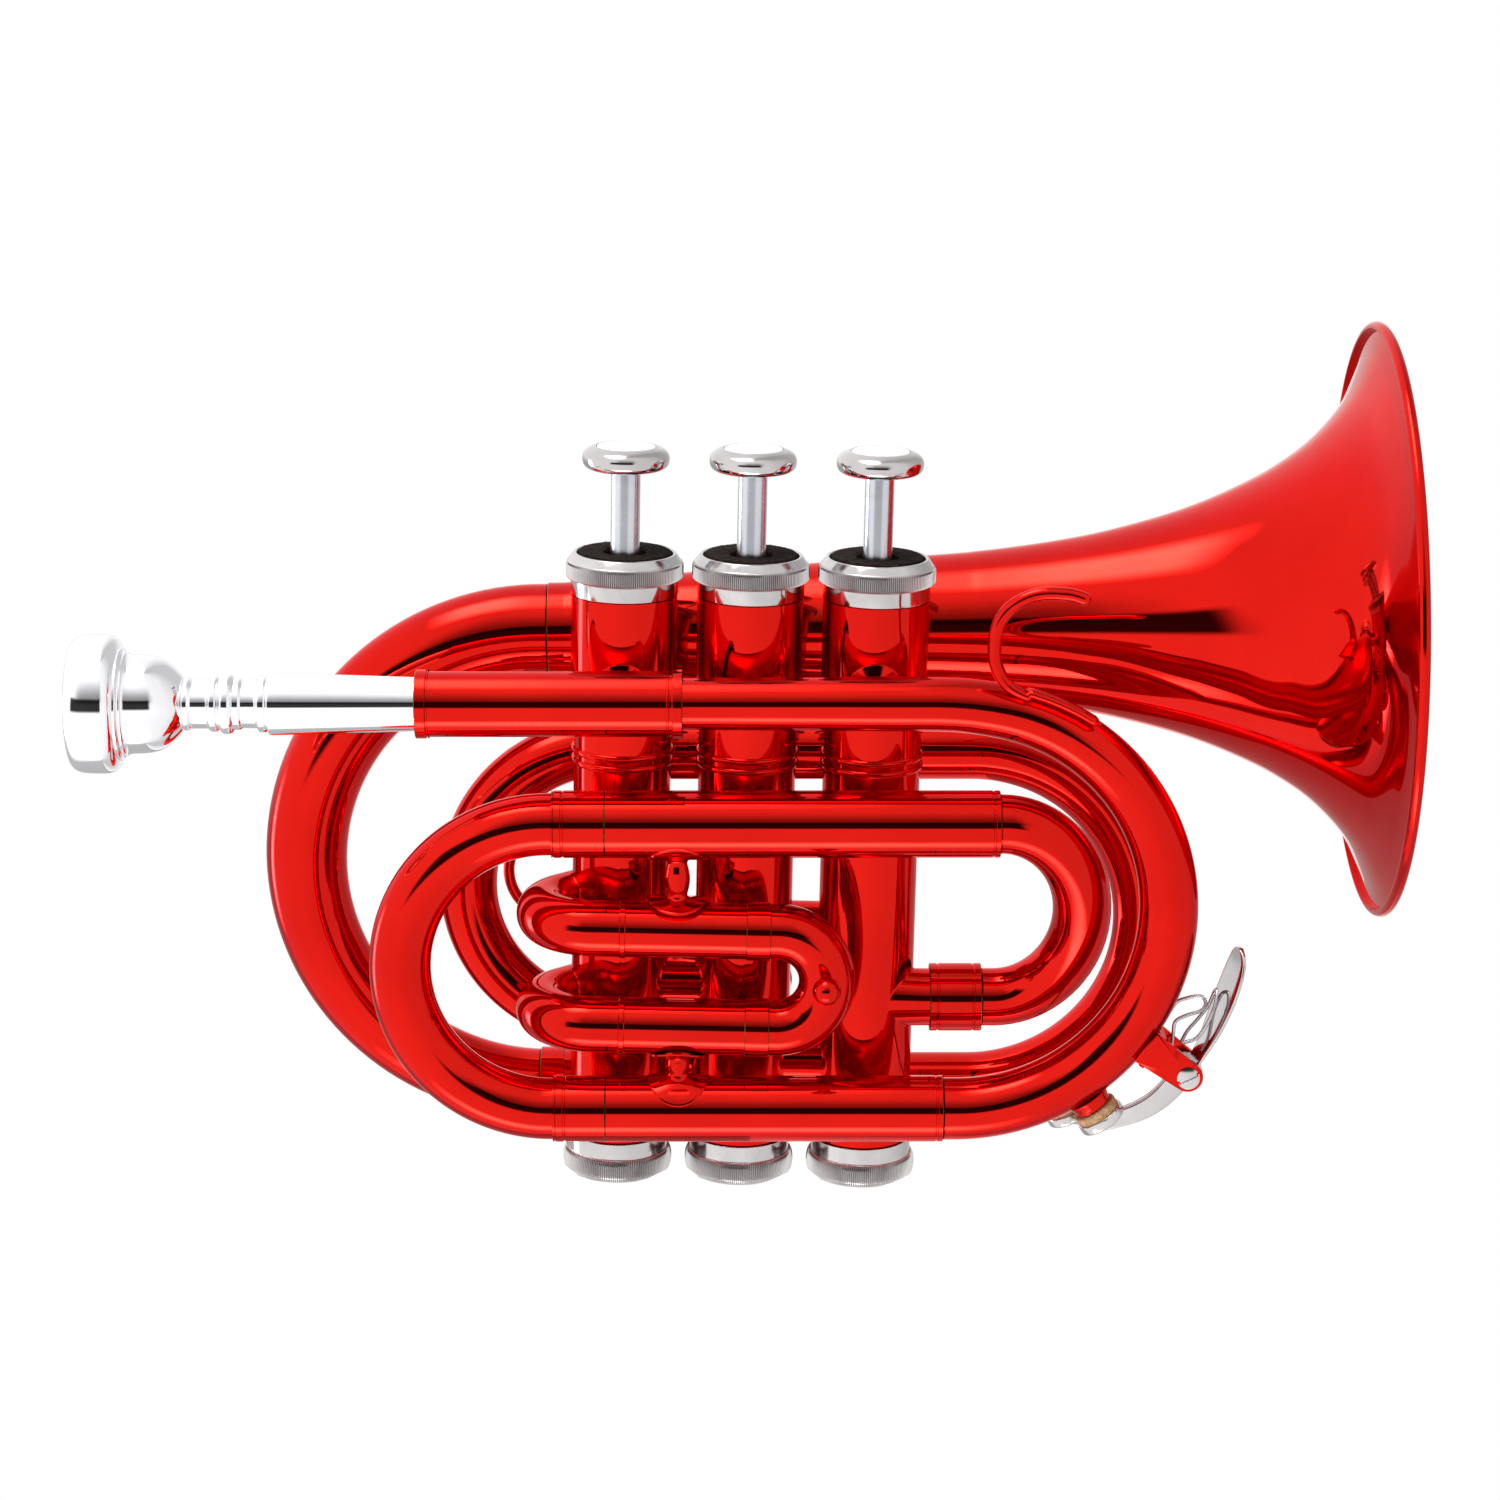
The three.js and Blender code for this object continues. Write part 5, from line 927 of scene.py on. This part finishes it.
# %% Main tuning slide and its sleeves
SLEEVES = (("upper", -26.05, 51.65, TUNING_TOP), ("lower", -26.45, 41.05, TUNING_LOW))
for label, left, right, height in SLEEVES:
    sleeve = Run((left, FRONT, height), X, 6.65, 6.05)
    sleeve.straight(right - left - 1.4).ring(0.35, -0.12).straight(1.05)
    tube(f"tuning_sleeve_{label}_tube", sleeve, Z, "horn", "red_lacquer", f"tuning_sleeve_{label}")

slide = Run((-26.08, FRONT, TUNING_TOP), -X, 6.65, 5.4)
slide.straight(8.2).ring(0.35, -0.15).straight(1.6).ring(0.35, -0.15).step(6.15).straight(0.87)
slide.bend(-Y, (TUNING_TOP - TUNING_LOW) / 2, 180).straight(0.47).step(6.65, bare=False)
slide.straight(0.1).ring(0.35, -0.15).straight(1.6).ring(0.35, -0.15).straight(8.1)
tube("tuning_bow", slide, Y, "tuning_slide", "red_lacquer", "tuning_slide", sides=80)
for label, x, height in (("upper", 15.42, TUNING_TOP), ("lower", 15.02, TUNING_LOW)):
    leg = Run((x, FRONT, height), -X, 5.75, 5.05).straight(44.0)
    tube(f"tuning_leg_{label}", leg, Y, "tuning_slide", "nickel_plate", "tuning_slide", sides=48)
tell("tuning slide")

# %% [markdown]
# From the upper tuning sleeve the return bow brings the air down and inwards to the third
# casing. Its two ends lie in different planes, so it isn't a bend about one axis: two cubic
# quarters of an ellipse meet at its outermost point.

# %% Return bow and entry tube
ENTRY_Y, ENTRY_Z = -2.94, 39.2
FERRULE_X, RETURN_DEPTH = 49.45, 17.0
QUARTER = 4 / 3 * (math.sqrt(2) - 1)


def quarter(run, corner, end):
    """A quarter of an ellipse as a cubic curve: its inner control points lie on the two end
    tangents, at the quarter share of the way to the corner where they meet."""
    start = run.place
    return run.curve(start + QUARTER * (corner - start), end + QUARTER * (corner - end), end,
                     run.radius, run.bore, 20)


returning = Run((46.5, FRONT, PIPE - 24.4), X, 5.6, 4.9).straight(5.28).step(5.87).straight(0.17)
far = returning.place + RETURN_DEPTH * X
low_end = np.array([returning.place[0], ENTRY_Y, ENTRY_Z])
low_corner = low_end + RETURN_DEPTH * X
quarter(returning, far, (far + low_corner) / 2)
quarter(returning, low_corner, low_end)
returning.straight(returning.place[0] - FERRULE_X - SEAM)
tube("return_tube", returning, Y, "horn", "red_lacquer", "return_bow", sides=80)
ferrule = Run((FERRULE_X, ENTRY_Y, ENTRY_Z), -X, 6.9, 5.9).straight(1.5).ring(0.3, -0.15)
ferrule.straight(6.85).ring(0.3, -0.15).straight(1.5)
tube("entry_ferrule", ferrule, Z, "horn", "red_lacquer", "entry_elbow")
elbow = Run((46.0, ENTRY_Y, ENTRY_Z), -X, 5.85, 5.0).straight(20.0)
tube("entry_tube", elbow, Z, "horn", "red_lacquer", "entry_elbow", end_on=leaned_wall(3), solder=0.45)
tell("return bow and entry tube")

# %% [markdown]
# ## Bell and the wrap behind the valves
# A bell is spun from sheet brass, and its rim is rolled over. A Solidify modifier could give it
# a wall, but the rolled rim needs its own curve, so outside, rim and inside are one outline.
# Its points are measured in the photograph, and more of them lie where it flares.

# %% Bell
BELL_Y, BELL_START, BELL_WALL = 24.74, -39.0, 0.8
RISE = 0.68
bell_way = level_way(RISE)


def on_bell(x):
    """A place on the bell's axis, which rises a little towards the rim."""
    return np.array([x, BELL_Y, 110.81 + (x - 62.0) * math.tan(math.radians(RISE))])


flare = through([(9.45, 0.0), (12.2, 39.0), (14.6, 80.55), (15.25, 88.85), (16.15, 97.05), (17.3, 105.25),
                 (18.8, 113.55), (21.35, 123.85), (23.9, 132.05), (27.2, 140.25), (31.6, 149.0),
                 (37.5, 157.3), (45.4, 164.4), (53.5, 168.3), (59.6, 170.1)], 7)
slope = unit(np.gradient(flare, axis=0))
inner_flare = flare + BELL_WALL * np.stack([-slope[:, 1], slope[:, 0]], 1)
roll = np.radians(np.linspace(-100, 150, 18))
rim = np.stack([60.0 + 1.2 * np.cos(roll), 170.2 + 1.2 * np.sin(roll)], 1)
profile = np.concatenate([flare, rim, inner_flare[::-1]])
rings = turned(profile, on_bell(BELL_START), bell_way, 200)
piece("bell_flare", rings, "horn", "red_lacquer", "bell", closed=True, crisp=60)
collar = Run(on_bell(BELL_START), bell_way, 9.7, 8.9).straight(7.0)
tube("bell_collar", collar, Z, "horn", "red_lacquer", "bell")
tell("bell")

# %% [markdown]
# Behind the valves the bell bow tapers as it comes round, the branch runs under the valves and
# back in a loop, and the small valve bow enters the first casing. All are runs of tube. BACK is
# the plane of the branch, and LOOP the centre of its loop. The valve bow leaves its round part
# for a curve that meets the first casing square on its wall.

# %% Bell bow, branch and valve bow
BACK, BRANCH_LOW = 18.0, 12.9
big = Run(on_bell(-39.13), -bell_way, 9.45, 8.7).straight(3.07 / bell_way[0])
spread = on_bell(-42.2)[2] - BRANCH_LOW
big.bend(-Y, spread / (1 + bell_way[0]), 180 - RISE, 7.3, shift=BELL_Y - BACK)
tube("bell_bow_tube", big, Y, "horn", "red_lacquer", "bell_bow", sides=96)

LOOP_X, LOOP_RADIUS = 48.05, 36.7
LOOP = np.array([LOOP_X, BACK, BRANCH_LOW + LOOP_RADIUS])
branch = Run(big.place + SEAM * X, X, 7.75, 6.6).straight(5.0).step(7.3)
branch.straight(LOOP_X - branch.place[0], 6.4)
branch.bend(-Y, LOOP_RADIUS, 180).straight(LOOP_X + 26.05 - 5.0, 6.2).step(6.7).straight(5.0)
tube("branch_tube", branch, Y, "horn", "red_lacquer", "bell_branch", sides=80)
rear_way = level_way(-63.2)
nipple("rear_nipple", LOOP + rear_way * (LOOP_RADIUS + 6.2), rear_way, 2.4, "bell_branch")

small = Run((-26.18, BACK, 86.3), -X, 6.1, 5.4).straight(1.87).bend(-Y, 27.7, 148, 5.8, shift=8.5)
entry_point = lean((-PITCH, 0.0, 28.0))
port = math.radians(138)
inward = -np.array([math.cos(port), math.sin(port), 0.0])
lead = np.linalg.norm(entry_point - small.place) / 3
leaving, arriving = small.place + small.heading * lead, entry_point - inward * lead
small.curve(leaving, arriving, entry_point, 5.75, 4.9, 40)
tube("valve_bow_tube", small, Y, "horn", "red_lacquer", "valve_bow", end_on=leaned_wall(1))
tell("bell bow, branch and valve bow")

# %% [markdown]
# ## Braces and the finger hook
# Small posts hold the tubes apart, each with a flange at both ends that is shaped to the tube or
# casing it stands on. A disc cut by a Boolean would be pointed at its sides, so the flange's
# rings slide onto the round wall instead. UPPER_WALL is a casing's radius where braces land.

# %% Braces
UPPER_WALL = 10.53


def front_tube(height, radius):
    """One of the straight tubes of the front plane as a cylinder."""
    return np.array([0.0, FRONT, height]), X, radius


def shallow(cylinder, heading, height, radius):
    """A wider cylinder about the same line, so that a flange on it stands at the given height
    and is bent less than the tube below it."""
    point, axis, _ = cylinder
    return point + (height - radius) * heading, axis, radius


for number, radius in ((1, 6.5), (3, 5.35)):
    x = lean(valve_foot(number) + PIPE * Z)[0]
    ends = (front_tube(PIPE, radius), leaned_wall(number, UPPER_WALL))
    post(f"pipe_brace_{number}", np.array([x, -12.4, PIPE]), Y, (2.6, 4.6, 5.6), ends,
         f"leadpipe_brace_{number}")
upper_leg, lower_leg = ((lean((0.0, FRONT, height)), lean(X), 5.55) for height in (FIRST_TOP, FIRST_LOW))
POST_X, SLEEVE_RADIUS = -11.9, 6.6
ends = (shallow(upper_leg, Z, 6.1, 13.0), front_tube(TUNING_TOP, SLEEVE_RADIUS))
post("slide_post_upper", np.array([POST_X, FRONT, 69.3]), Z, (1.95, 5.85, 5.9), ends,
     "slide_brace_upper", belly=0.55, wraps=(0, 1.12))
ends = (front_tube(TUNING_LOW, SLEEVE_RADIUS), shallow(lower_leg, -Z, 5.5, 12.0))
post("slide_post_lower", np.array([POST_X, FRONT, 30.6]), Z, (2.05, 6.2, 5.85), ends,
     "slide_brace_lower", wraps=(1.2, 0))
height = on_bell(0)[2]
middle = np.array([lean((0, 0, height))[0], 11.5, height])
ends = (leaned_wall(2, UPPER_WALL), (on_bell(0), bell_way, 12.3))
post("bell_post", middle, Y, (3.2, 5.2, 5.2), ends, "bell_brace", flange=0.3)
tell("braces")

# %% [markdown]
# The little finger rests in a hook of bent rod on the leadpipe's bow. Its line is drawn through
# points of the photograph. A bevelled curve would be equally thick all along, but this rod has a
# rounded tip, and towards its foot it gets wider and flatter and follows the bow.

# %% Finger hook
HOOK_RADIUS = 1.35


def in_plane(pairs, y):
    """Pairs of x and z as places in the plane at y."""
    return np.stack([pairs[:, 0], np.full(len(pairs), y), pairs[:, 1]], 1)


hook_line = through([(67.9, 126.4), (66.6, 127.3), (63.6, 128.1), (58.6, 128.2), (54.9, 127.0),
                     (52.1, 124.9), (50.3, 121.9), (49.75, 118.6), (49.9, 115.0), (51.0, 112.0),
                     (52.9, 109.7), (56.9, 107.6)], 6)
foot_angle = np.linspace(74.0, 55.5, 22)
foot_line = on_bow(foot_angle, BOW_RADIUS + 5.7)[:, [0, 2]]
hook_line = np.concatenate([hook_line[:-1], foot_line])
hook_places = in_plane(hook_line, FRONT - 4.2)
hook_way = unit(np.gradient(hook_places, axis=0))
side = unit(np.cross(Y, hook_way))
way_along = np.cumsum(np.r_[0, np.linalg.norm(np.diff(hook_places, axis=0), axis=1)])
tip = np.sqrt(np.clip(1 - (1 - np.clip(way_along / 1.3, 0.02, 1)) ** 2, 0, 1))
end = np.clip((way_along[-1] - way_along) / 1.4, 0.05, 1) ** 0.5
flat = np.clip((way_along - 30) / 10, 0, 1)
radius = (HOOK_RADIUS * tip * end)[:, None]
wide, thick = radius * (1 + 0.5 * flat[:, None]), radius * (1 - 0.25 * flat[:, None])
rings = hook_places[:, None] + spokes((wide * Y)[:, None], (thick * side)[:, None], 32)
piece("hook_rod", rings, "horn", "red_lacquer", "finger_hook", crisp=70)
tell("finger hook")

# %% [markdown]
# ## Water key
# One sprung lever carries two cork cups, and pressing its plate lifts both corks off their
# nipples to let water out. Its bars look cast and filed, with rounded edges, and a superellipse
# as their section gives those without a Bevel modifier. The plate widens from 4.6 to 8.8 mm
# over the first 60% of its length and ends round.

# %% Water key
PIVOT = on_bow(KEY_AT, BOW_RADIUS + 15.15)
front_tip = on_bow(DRAIN_AT, BOW_RADIUS + 7.8)
rear_tip = LOOP + rear_way * (LOOP_RADIUS + 8.6)


def cork_and_cup(label, tip_point, way):
    """A cork disc on the nipple, and the cup that holds it."""
    disc = soften([(0.2, 0.3), (4.3, 0.3), (4.45, 0.5), (4.45, 3.3), (0.2, 3.3)], 0.25, 3)
    piece(f"cork_{label}", turned(disc, tip_point, way, 72), "water_key", "cork",
          f"water_key_cork_{label}")
    shell = soften([(4.5, 2.1), (4.85, 2.1), (4.9, 3.0), (4.85, 3.9), (4.3, 4.3), (0.2, 4.4)], 0.3, 4)
    inner = soften([(0.2, 3.5), (4.4, 3.45), (4.5, 2.3)], 0.2, 3)
    shape = np.concatenate([inner, shell])
    return loft(f"cup_{label}", turned(shape, tip_point, way, 96))


def bar(name, places, wide, thick, normal, sides, power):
    """A bar of rounded section swept along places. The section is a superellipse: cosine and
    sine are each raised to 2/power and keep their signs."""
    places = np.asarray(places, float)
    way = unit(np.gradient(places, axis=0))
    across = unit(np.cross(way, normal))
    up = np.cross(across, way)
    a = np.linspace(0, 2 * math.pi, sides, endpoint=False)
    c = np.sign(np.cos(a)) * np.abs(np.cos(a)) ** (2 / power)
    s = np.sign(np.sin(a)) * np.abs(np.sin(a)) ** (2 / power)
    wide = np.broadcast_to(wide, len(places))[:, None, None] / 2
    thick = np.broadcast_to(thick, len(places))[:, None, None] / 2
    rings = places[:, None] + wide * c[:, None] * across[:, None] + thick * s[:, None] * up[:, None]
    return loft(name, rings, crisp=50)


def lever(obj):
    """A piece of the lever, plated like the screw that holds it."""
    place(obj, "water_key", "silver_plate", "water_key_lever", look="nickel_plate")


for label, tip_point, way in (("front", front_tip, front_way), ("rear", rear_tip, rear_way)):
    lever(cork_and_cup(label, tip_point, way))
touch = through([(91.3, 31.6), (93.0, 34.6), (94.6, 38.2), (96.4, 42.9), (98.0, 47.6), (99.3, 52.2),
                 (99.7, 55.4)], 10)
plate_line = in_plane(touch, FRONT)
share = np.linspace(0, 1, len(touch))
bow_centre = np.array([BOW_X, FRONT, BOW_Z])
outward = unit(plate_line - bow_centre)
twist = math.radians(17)
spread = np.where(share < 0.6, 4.6 + 4.2 * np.sin(0.5 * math.pi * share / 0.6) ** 2,
                  8.8 * np.sqrt(np.clip(1 - ((share - 0.6) / 0.405) ** 2, 0.01, 1)))
tilted = outward * math.cos(twist) + Y * math.sin(twist)
lever(bar("key_plate", plate_line, spread, 1.0, tilted, 40, 4.0))
share = np.linspace(0, 1, 40)[:, None]
arm_end = front_tip + front_way * 4.0
arm_line = PIVOT * (1 - share) + arm_end * share
arm_line = arm_line + 2.3 * np.sin(math.pi * share) * unit(np.cross(arm_end - PIVOT, Y))
lever(bar("key_arm", arm_line, 5.2 - 1.5 * share[:, 0] ** 0.7, 1.7, Y, 32, 5.0))
rod_start, rod_end = front_tip + front_way * 4.6, rear_tip + rear_way * 4.6
lever(bar("key_rod", rod_start + share * (rod_end - rod_start), 2.5, 2.5, Z, 28, 2.0))
tube_shape = soften([(1.55, -3.3), (2.4, -3.3), (2.4, 1.35), (1.55, 1.35)], 0.2, 3, closed=True)
lever(loft("key_barrel", turned(tube_shape, PIVOT, Y, 48), closed=True))
tell("lever, corks and cups")


# %% [markdown]
# The saddle is soldered to the leadpipe's bow and holds the pivot between two cheeks. Each cheek
# is a flat outline, repeated at four depths and drawn in a little at the outer two, which is a
# bevel without a modifier.

# %% Saddle
def ear(name, y0, y1):
    """One cheek of the saddle: an outline in X and Z, with bevelled edges, between two planes.
    The outline is the pivot's circle widened to the foot on the pipe."""
    a = np.radians(np.linspace(-90, 90, 25))[:, None]
    radial = level_way(KEY_AT)[[0, 2]]
    side_way = np.array([-radial[1], radial[0]])
    centre = PIVOT[[0, 2]]
    top = centre + 3.0 * (np.cos(a) * radial + np.sin(a) * side_way)
    foot_at = on_bow(KEY_AT, BOW_RADIUS + 4.4)[[0, 2]]
    low = [foot_at + side_way * 3.9, foot_at - side_way * 3.5]
    outline = soften(np.concatenate([top, low]), 0.3, 2, closed=True)
    middle = outline.mean(axis=0)
    steps = ((y0, 0.93), (y0 + 0.25, 1.0), (y1 - 0.25, 1.0), (y1, 0.93))
    rows = [in_plane(middle + (outline - middle) * shrink, y) for y, shrink in steps]
    piece(name, np.array(rows), "horn", "red_lacquer", "water_key_saddle")


ear("saddle_front_ear", FRONT - 5.1, FRONT - 3.6)
ear("saddle_rear_ear", FRONT + 3.6, FRONT + 5.1)
base_line = on_bow(np.linspace(KEY_AT - 4.4, KEY_AT + 4.6, 14), BOW_RADIUS + 6.3)
outward = unit(base_line - bow_centre)
place(bar("saddle_base", base_line, 10.2, 1.4, outward, 32, 6.0), "horn", "red_lacquer", "water_key_saddle")
tell("saddle")

# %% [markdown]
# The screw's head is a low dome, a height over its disc, less a slot: wherever a point is nearer
# than 0.36 mm to the slot's line, the height falls. The spring's coil and its resting leg stay
# with the tubes, and its lifting leg goes with the key. On the real key the resting leg draws in
# as the key turns; here it keeps one shape.

# %% Pivot screw and key spring
HEAD_RADIUS, SLOT_TURN = 2.25, math.radians(26)
spoke = spokes(X, Z, 96)
out_share = np.linspace(0.02, 1, 30)[:, None]
disc = HEAD_RADIUS * out_share[..., None] * spoke
from_slot = np.abs(disc[..., 2] * math.cos(SLOT_TURN) - disc[..., 0] * math.sin(SLOT_TURN))
dome = 0.6 - 0.3 * out_share**2 - 0.45 * np.clip((0.36 - from_slot) / 0.1, 0, 1)
head = PIVOT + disc - (5.15 + dome)[..., None] * Y
stalk = np.array([(HEAD_RADIUS, -5.1), (1.2, -5.05), (1.2, 5.0), (1.0, 5.2)])
stalk_rings = PIVOT + stalk[:, :1, None] * spoke + stalk[:, 1, None, None] * Y
piece("key_screw", np.concatenate([head, stalk_rings]), "horn", "nickel_plate", "water_key_screw")


def wire(name, places, body, *nodes, thick=0.75, steps=6):
    """Round spring wire through a line of places."""
    places = through(places, steps) if steps else places
    return place(bar(name, places, thick, thick, Y + 0.3 * X, 14, 2.0), body, "spring_steel", *nodes)


coil_share = np.linspace(0, 1, 34)
coil_angle = coil_share * 2 * math.pi * 3.2 + 1.2
coil = PIVOT + 2.85 * np.cos(coil_angle)[:, None] * X + 2.85 * np.sin(coil_angle)[:, None] * Z
coil = coil + (1.6 - 3.4 * coil_share)[:, None] * Y
wire("key_coil", coil, "horn", "water_key_spring")
resting = [(86.6, -21.3, 34.6), (86.9, -21.1, 37.4), (87.3, -21.0, 40.1), (89.6, -20.9, 41.4),
           (92.2, -20.8, 42.2), (93.2, -20.6, 43.4), (93.0, -20.1, 44.6), (91.8, -19.9, 45.1),
           (89.5, -19.8, 44.6), (87.5, -19.8, 43.7), (86.0, -19.8, 41.3)]
rest = wire("key_spring_rest", resting, "horn", "water_key_spring")
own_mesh(rest)
lifting = [(88.8, -18.8, 34.9), (90.0, -18.4, 37.2), (92.0, -18.2, 39.6), (94.0, -18.2, 42.4),
           (95.2, -18.6, 45.6), (95.4, -20.3, 46.2), (94.9, -22.0, 43.6), (93.3, -22.4, 39.8),
           (91.3, -22.4, 37.0), (88.9, -22.3, 36.1)]
wire("key_spring_lift", lifting, "water_key")
tell("pivot screw and key spring")

# %% [markdown]
# ## Valve springs
# Inside each casing an open coil stands on the valve guide and carries the piston. It gets
# shorter as the piston goes down, while its lower end stays on the guide, which moving a stiff
# body can't do. Here each coil stays with the tubes at its resting length.

# %% Valve springs
STROKE, COIL_RADIUS, COIL_WIRE, COIL_TURNS, END_GAP = 16.2, 4.9, 1.1, 5, 0.7
for number in (1, 2, 3):
    low, high = (corner.z * 1000 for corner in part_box(f"valve_spring_{number}"))
    share = np.linspace(0, 1, 161)
    turn_angle = 2 * math.pi * COIL_TURNS * share
    foot = lean(valve_foot(number))
    rise = low - foot[2] + END_GAP + (high - low - 2 * END_GAP) * share
    coil = np.stack([COIL_RADIUS * np.cos(turn_angle), COIL_RADIUS * np.sin(turn_angle), rise], 1)
    spring = wire(f"coil_{number}", foot + lean(coil), "horn", f"valve_spring_{number}",
                  thick=COIL_WIRE, steps=0)
    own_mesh(spring)
tell("valve springs")

# %% [markdown]
# ## Carried-over solids
# The pistons and guides stay hidden inside the casings, so their solids stay as they are and
# only get their finish.

# %% Finishes for the solids inside
slot_of = {part["node"]: part["material_slot"] for part in frame["record"]["subparts"]}
for name, obj in frame["nodes"].items():
    obj.data.materials.clear()
    obj.data.materials.append(finish[slot_of[name]])
print("solids with a finish:", len(slot_of))

# %% [markdown]
# ## Light, backdrop and camera
# Bright lacquer shows its surroundings more than its own colour, and the photograph's reflections
# tell what stood round the trumpet. Lamps and boards could be built as objects, but drawn in the
# world's nodes they are the same for every piece and throw no hard shadows.
# The studio is a white room whose walls get greyer on the right. A dark slot stands round the
# camera, a veil above it fades upwards, and the room is darker low down behind on the left.
# Three lamps brighten it: a soft box overhead, a reflector on the floor, and a narrow strip on
# the left. Rays from the camera see plain white. Azimuth is 0 towards the camera and grows to
# the right, and all the angles here are degrees.

# %% World
world = bpy.data.worlds.new("studio")
scene.world = world
world.use_nodes = True
tree = world.node_tree
tree.nodes.clear()
ray_way = add_node(tree, "ShaderNodeTexCoord").outputs["Generated"]
way = add_node(tree, "ShaderNodeSeparateXYZ", Vector=ray_way)
across, up = way.outputs["X"], way.outputs["Z"]
front = product(tree, way.outputs["Y"], -1.0)
azimuth = calculate(tree, "DEGREES", calculate(tree, "ARCTAN2", across, front))
elevation = calculate(tree, "DEGREES", calculate(tree, "ARCSINE", up))


def edge(value, zero, one):
    """A smooth step that is 0 at the one value and 1 at the other."""
    node = add_node(tree, "ShaderNodeMapRange", {"interpolation_type": "SMOOTHSTEP"}, Value=value)
    node.inputs["From Min"].default_value, node.inputs["From Max"].default_value = zero, one
    return node.outputs[0]


def window(value, low, high, soft):
    """1 between two values and 0 outside, with soft edges."""
    return product(tree, edge(value, low - soft, low + soft), edge(value, high + soft, high - soft))


def patch(strength, first, second):
    """A patch of the sky: two windows multiplied, times its strength."""
    return product(tree, window(*first), window(*second), strength)


def on_plane(height):
    """Where a direction meets a level plane at unit distance, and how surely it does."""
    reach = calculate(tree, "MAXIMUM", height, 0.05)
    places = (calculate(tree, "DIVIDE", axis, reach) for axis in (across, front))
    return *places, edge(height, 0.1, 0.3)


ROOM_LEVEL = 1.25
room_stops = [(0.0, 0.86), (0.08, 0.97), (0.17, 1.0), (0.33, 1.0), (0.45, 1.0), (0.54, 0.9), (0.6, 0.84),
              (0.7, 0.8), (0.77, 0.66), (0.84, 0.5), (0.93, 0.5), (1.0, 0.86)]
turn_share = calculate(tree, "ADD", calculate(tree, "DIVIDE", azimuth, 360.0), 0.5)
level = product(tree, ramp(tree, turn_share, room_stops), ROOM_LEVEL)
slot = patch(0.97, (azimuth, -40.0, 22.0, 5.0), (elevation, 0.0, 21.5, 3.0))
veil = product(tree, window(azimuth, -24.0, 26.0, 12.0), edge(elevation, 62.0, 20.0),
               product(tree, edge(elevation, 10.0, 20.0), 0.75))
behind = product(tree, edge(azimuth, -98.0, -128.0), edge(elevation, 6.0, -16.0), 0.55)
for shade in (slot, veil, behind):
    level = product(tree, level, calculate(tree, "SUBTRACT", 1.0, shade))
top_x, top_y, above = on_plane(up)
floor_x, floor_y, below = on_plane(product(tree, up, -1.0))
overhead = patch(11.0, (top_x, -0.5, -0.08, 0.14), (top_y, -0.25, 0.32, 0.16))
reflector = patch(8.0, (floor_x, -0.55, 0.15, 0.18), (floor_y, 0.42, 0.76, 0.18))
left_strip = patch(12.0, (azimuth, -113.0, -103.0, 5.0), (elevation, -24.0, 0.0, 6.0))
for lamp in (product(tree, overhead, above), product(tree, reflector, below), left_strip):
    level = calculate(tree, "ADD", level, lamp)
studio = add_node(tree, "ShaderNodeBackground", Strength=level)
white = add_node(tree, "ShaderNodeBackground", Strength=1.0)
for background in (studio, white):
    background.inputs["Color"].default_value = (1, 1, 1, 1)
seen = add_node(tree, "ShaderNodeLightPath").outputs["Is Camera Ray"]
choice = add_node(tree, "ShaderNodeMixShader", i0=seen, i1=studio.outputs[0], i2=white.outputs[0])
add_node(tree, "ShaderNodeOutputWorld", Surface=choice.outputs[0])
print("nodes in the world:", len(tree.nodes))

# %% [markdown]
# The camera stands a little above the trumpet, where the photograph's ellipses and the overlap of
# its tubes say, and the longish lens follows from how little the far side shrinks. Standard
# colours are used, because a filmic curve would turn the white background grey.

# %% Camera
lens = bpy.data.cameras.new("camera")
lens.lens, lens.sensor_width = 92.4, 36.0
camera = bpy.data.objects.new("camera", lens)
scene.collection.objects.link(camera)
camera.location = (0.00245, -0.7486, 0.2911)
camera.rotation_euler = (math.radians(75), 0, 0)
scene.camera = camera
scene.view_settings.view_transform = "Standard"
print("camera at", tuple(round(v, 4) for v in camera.location), "with a lens of", round(lens.lens, 1))
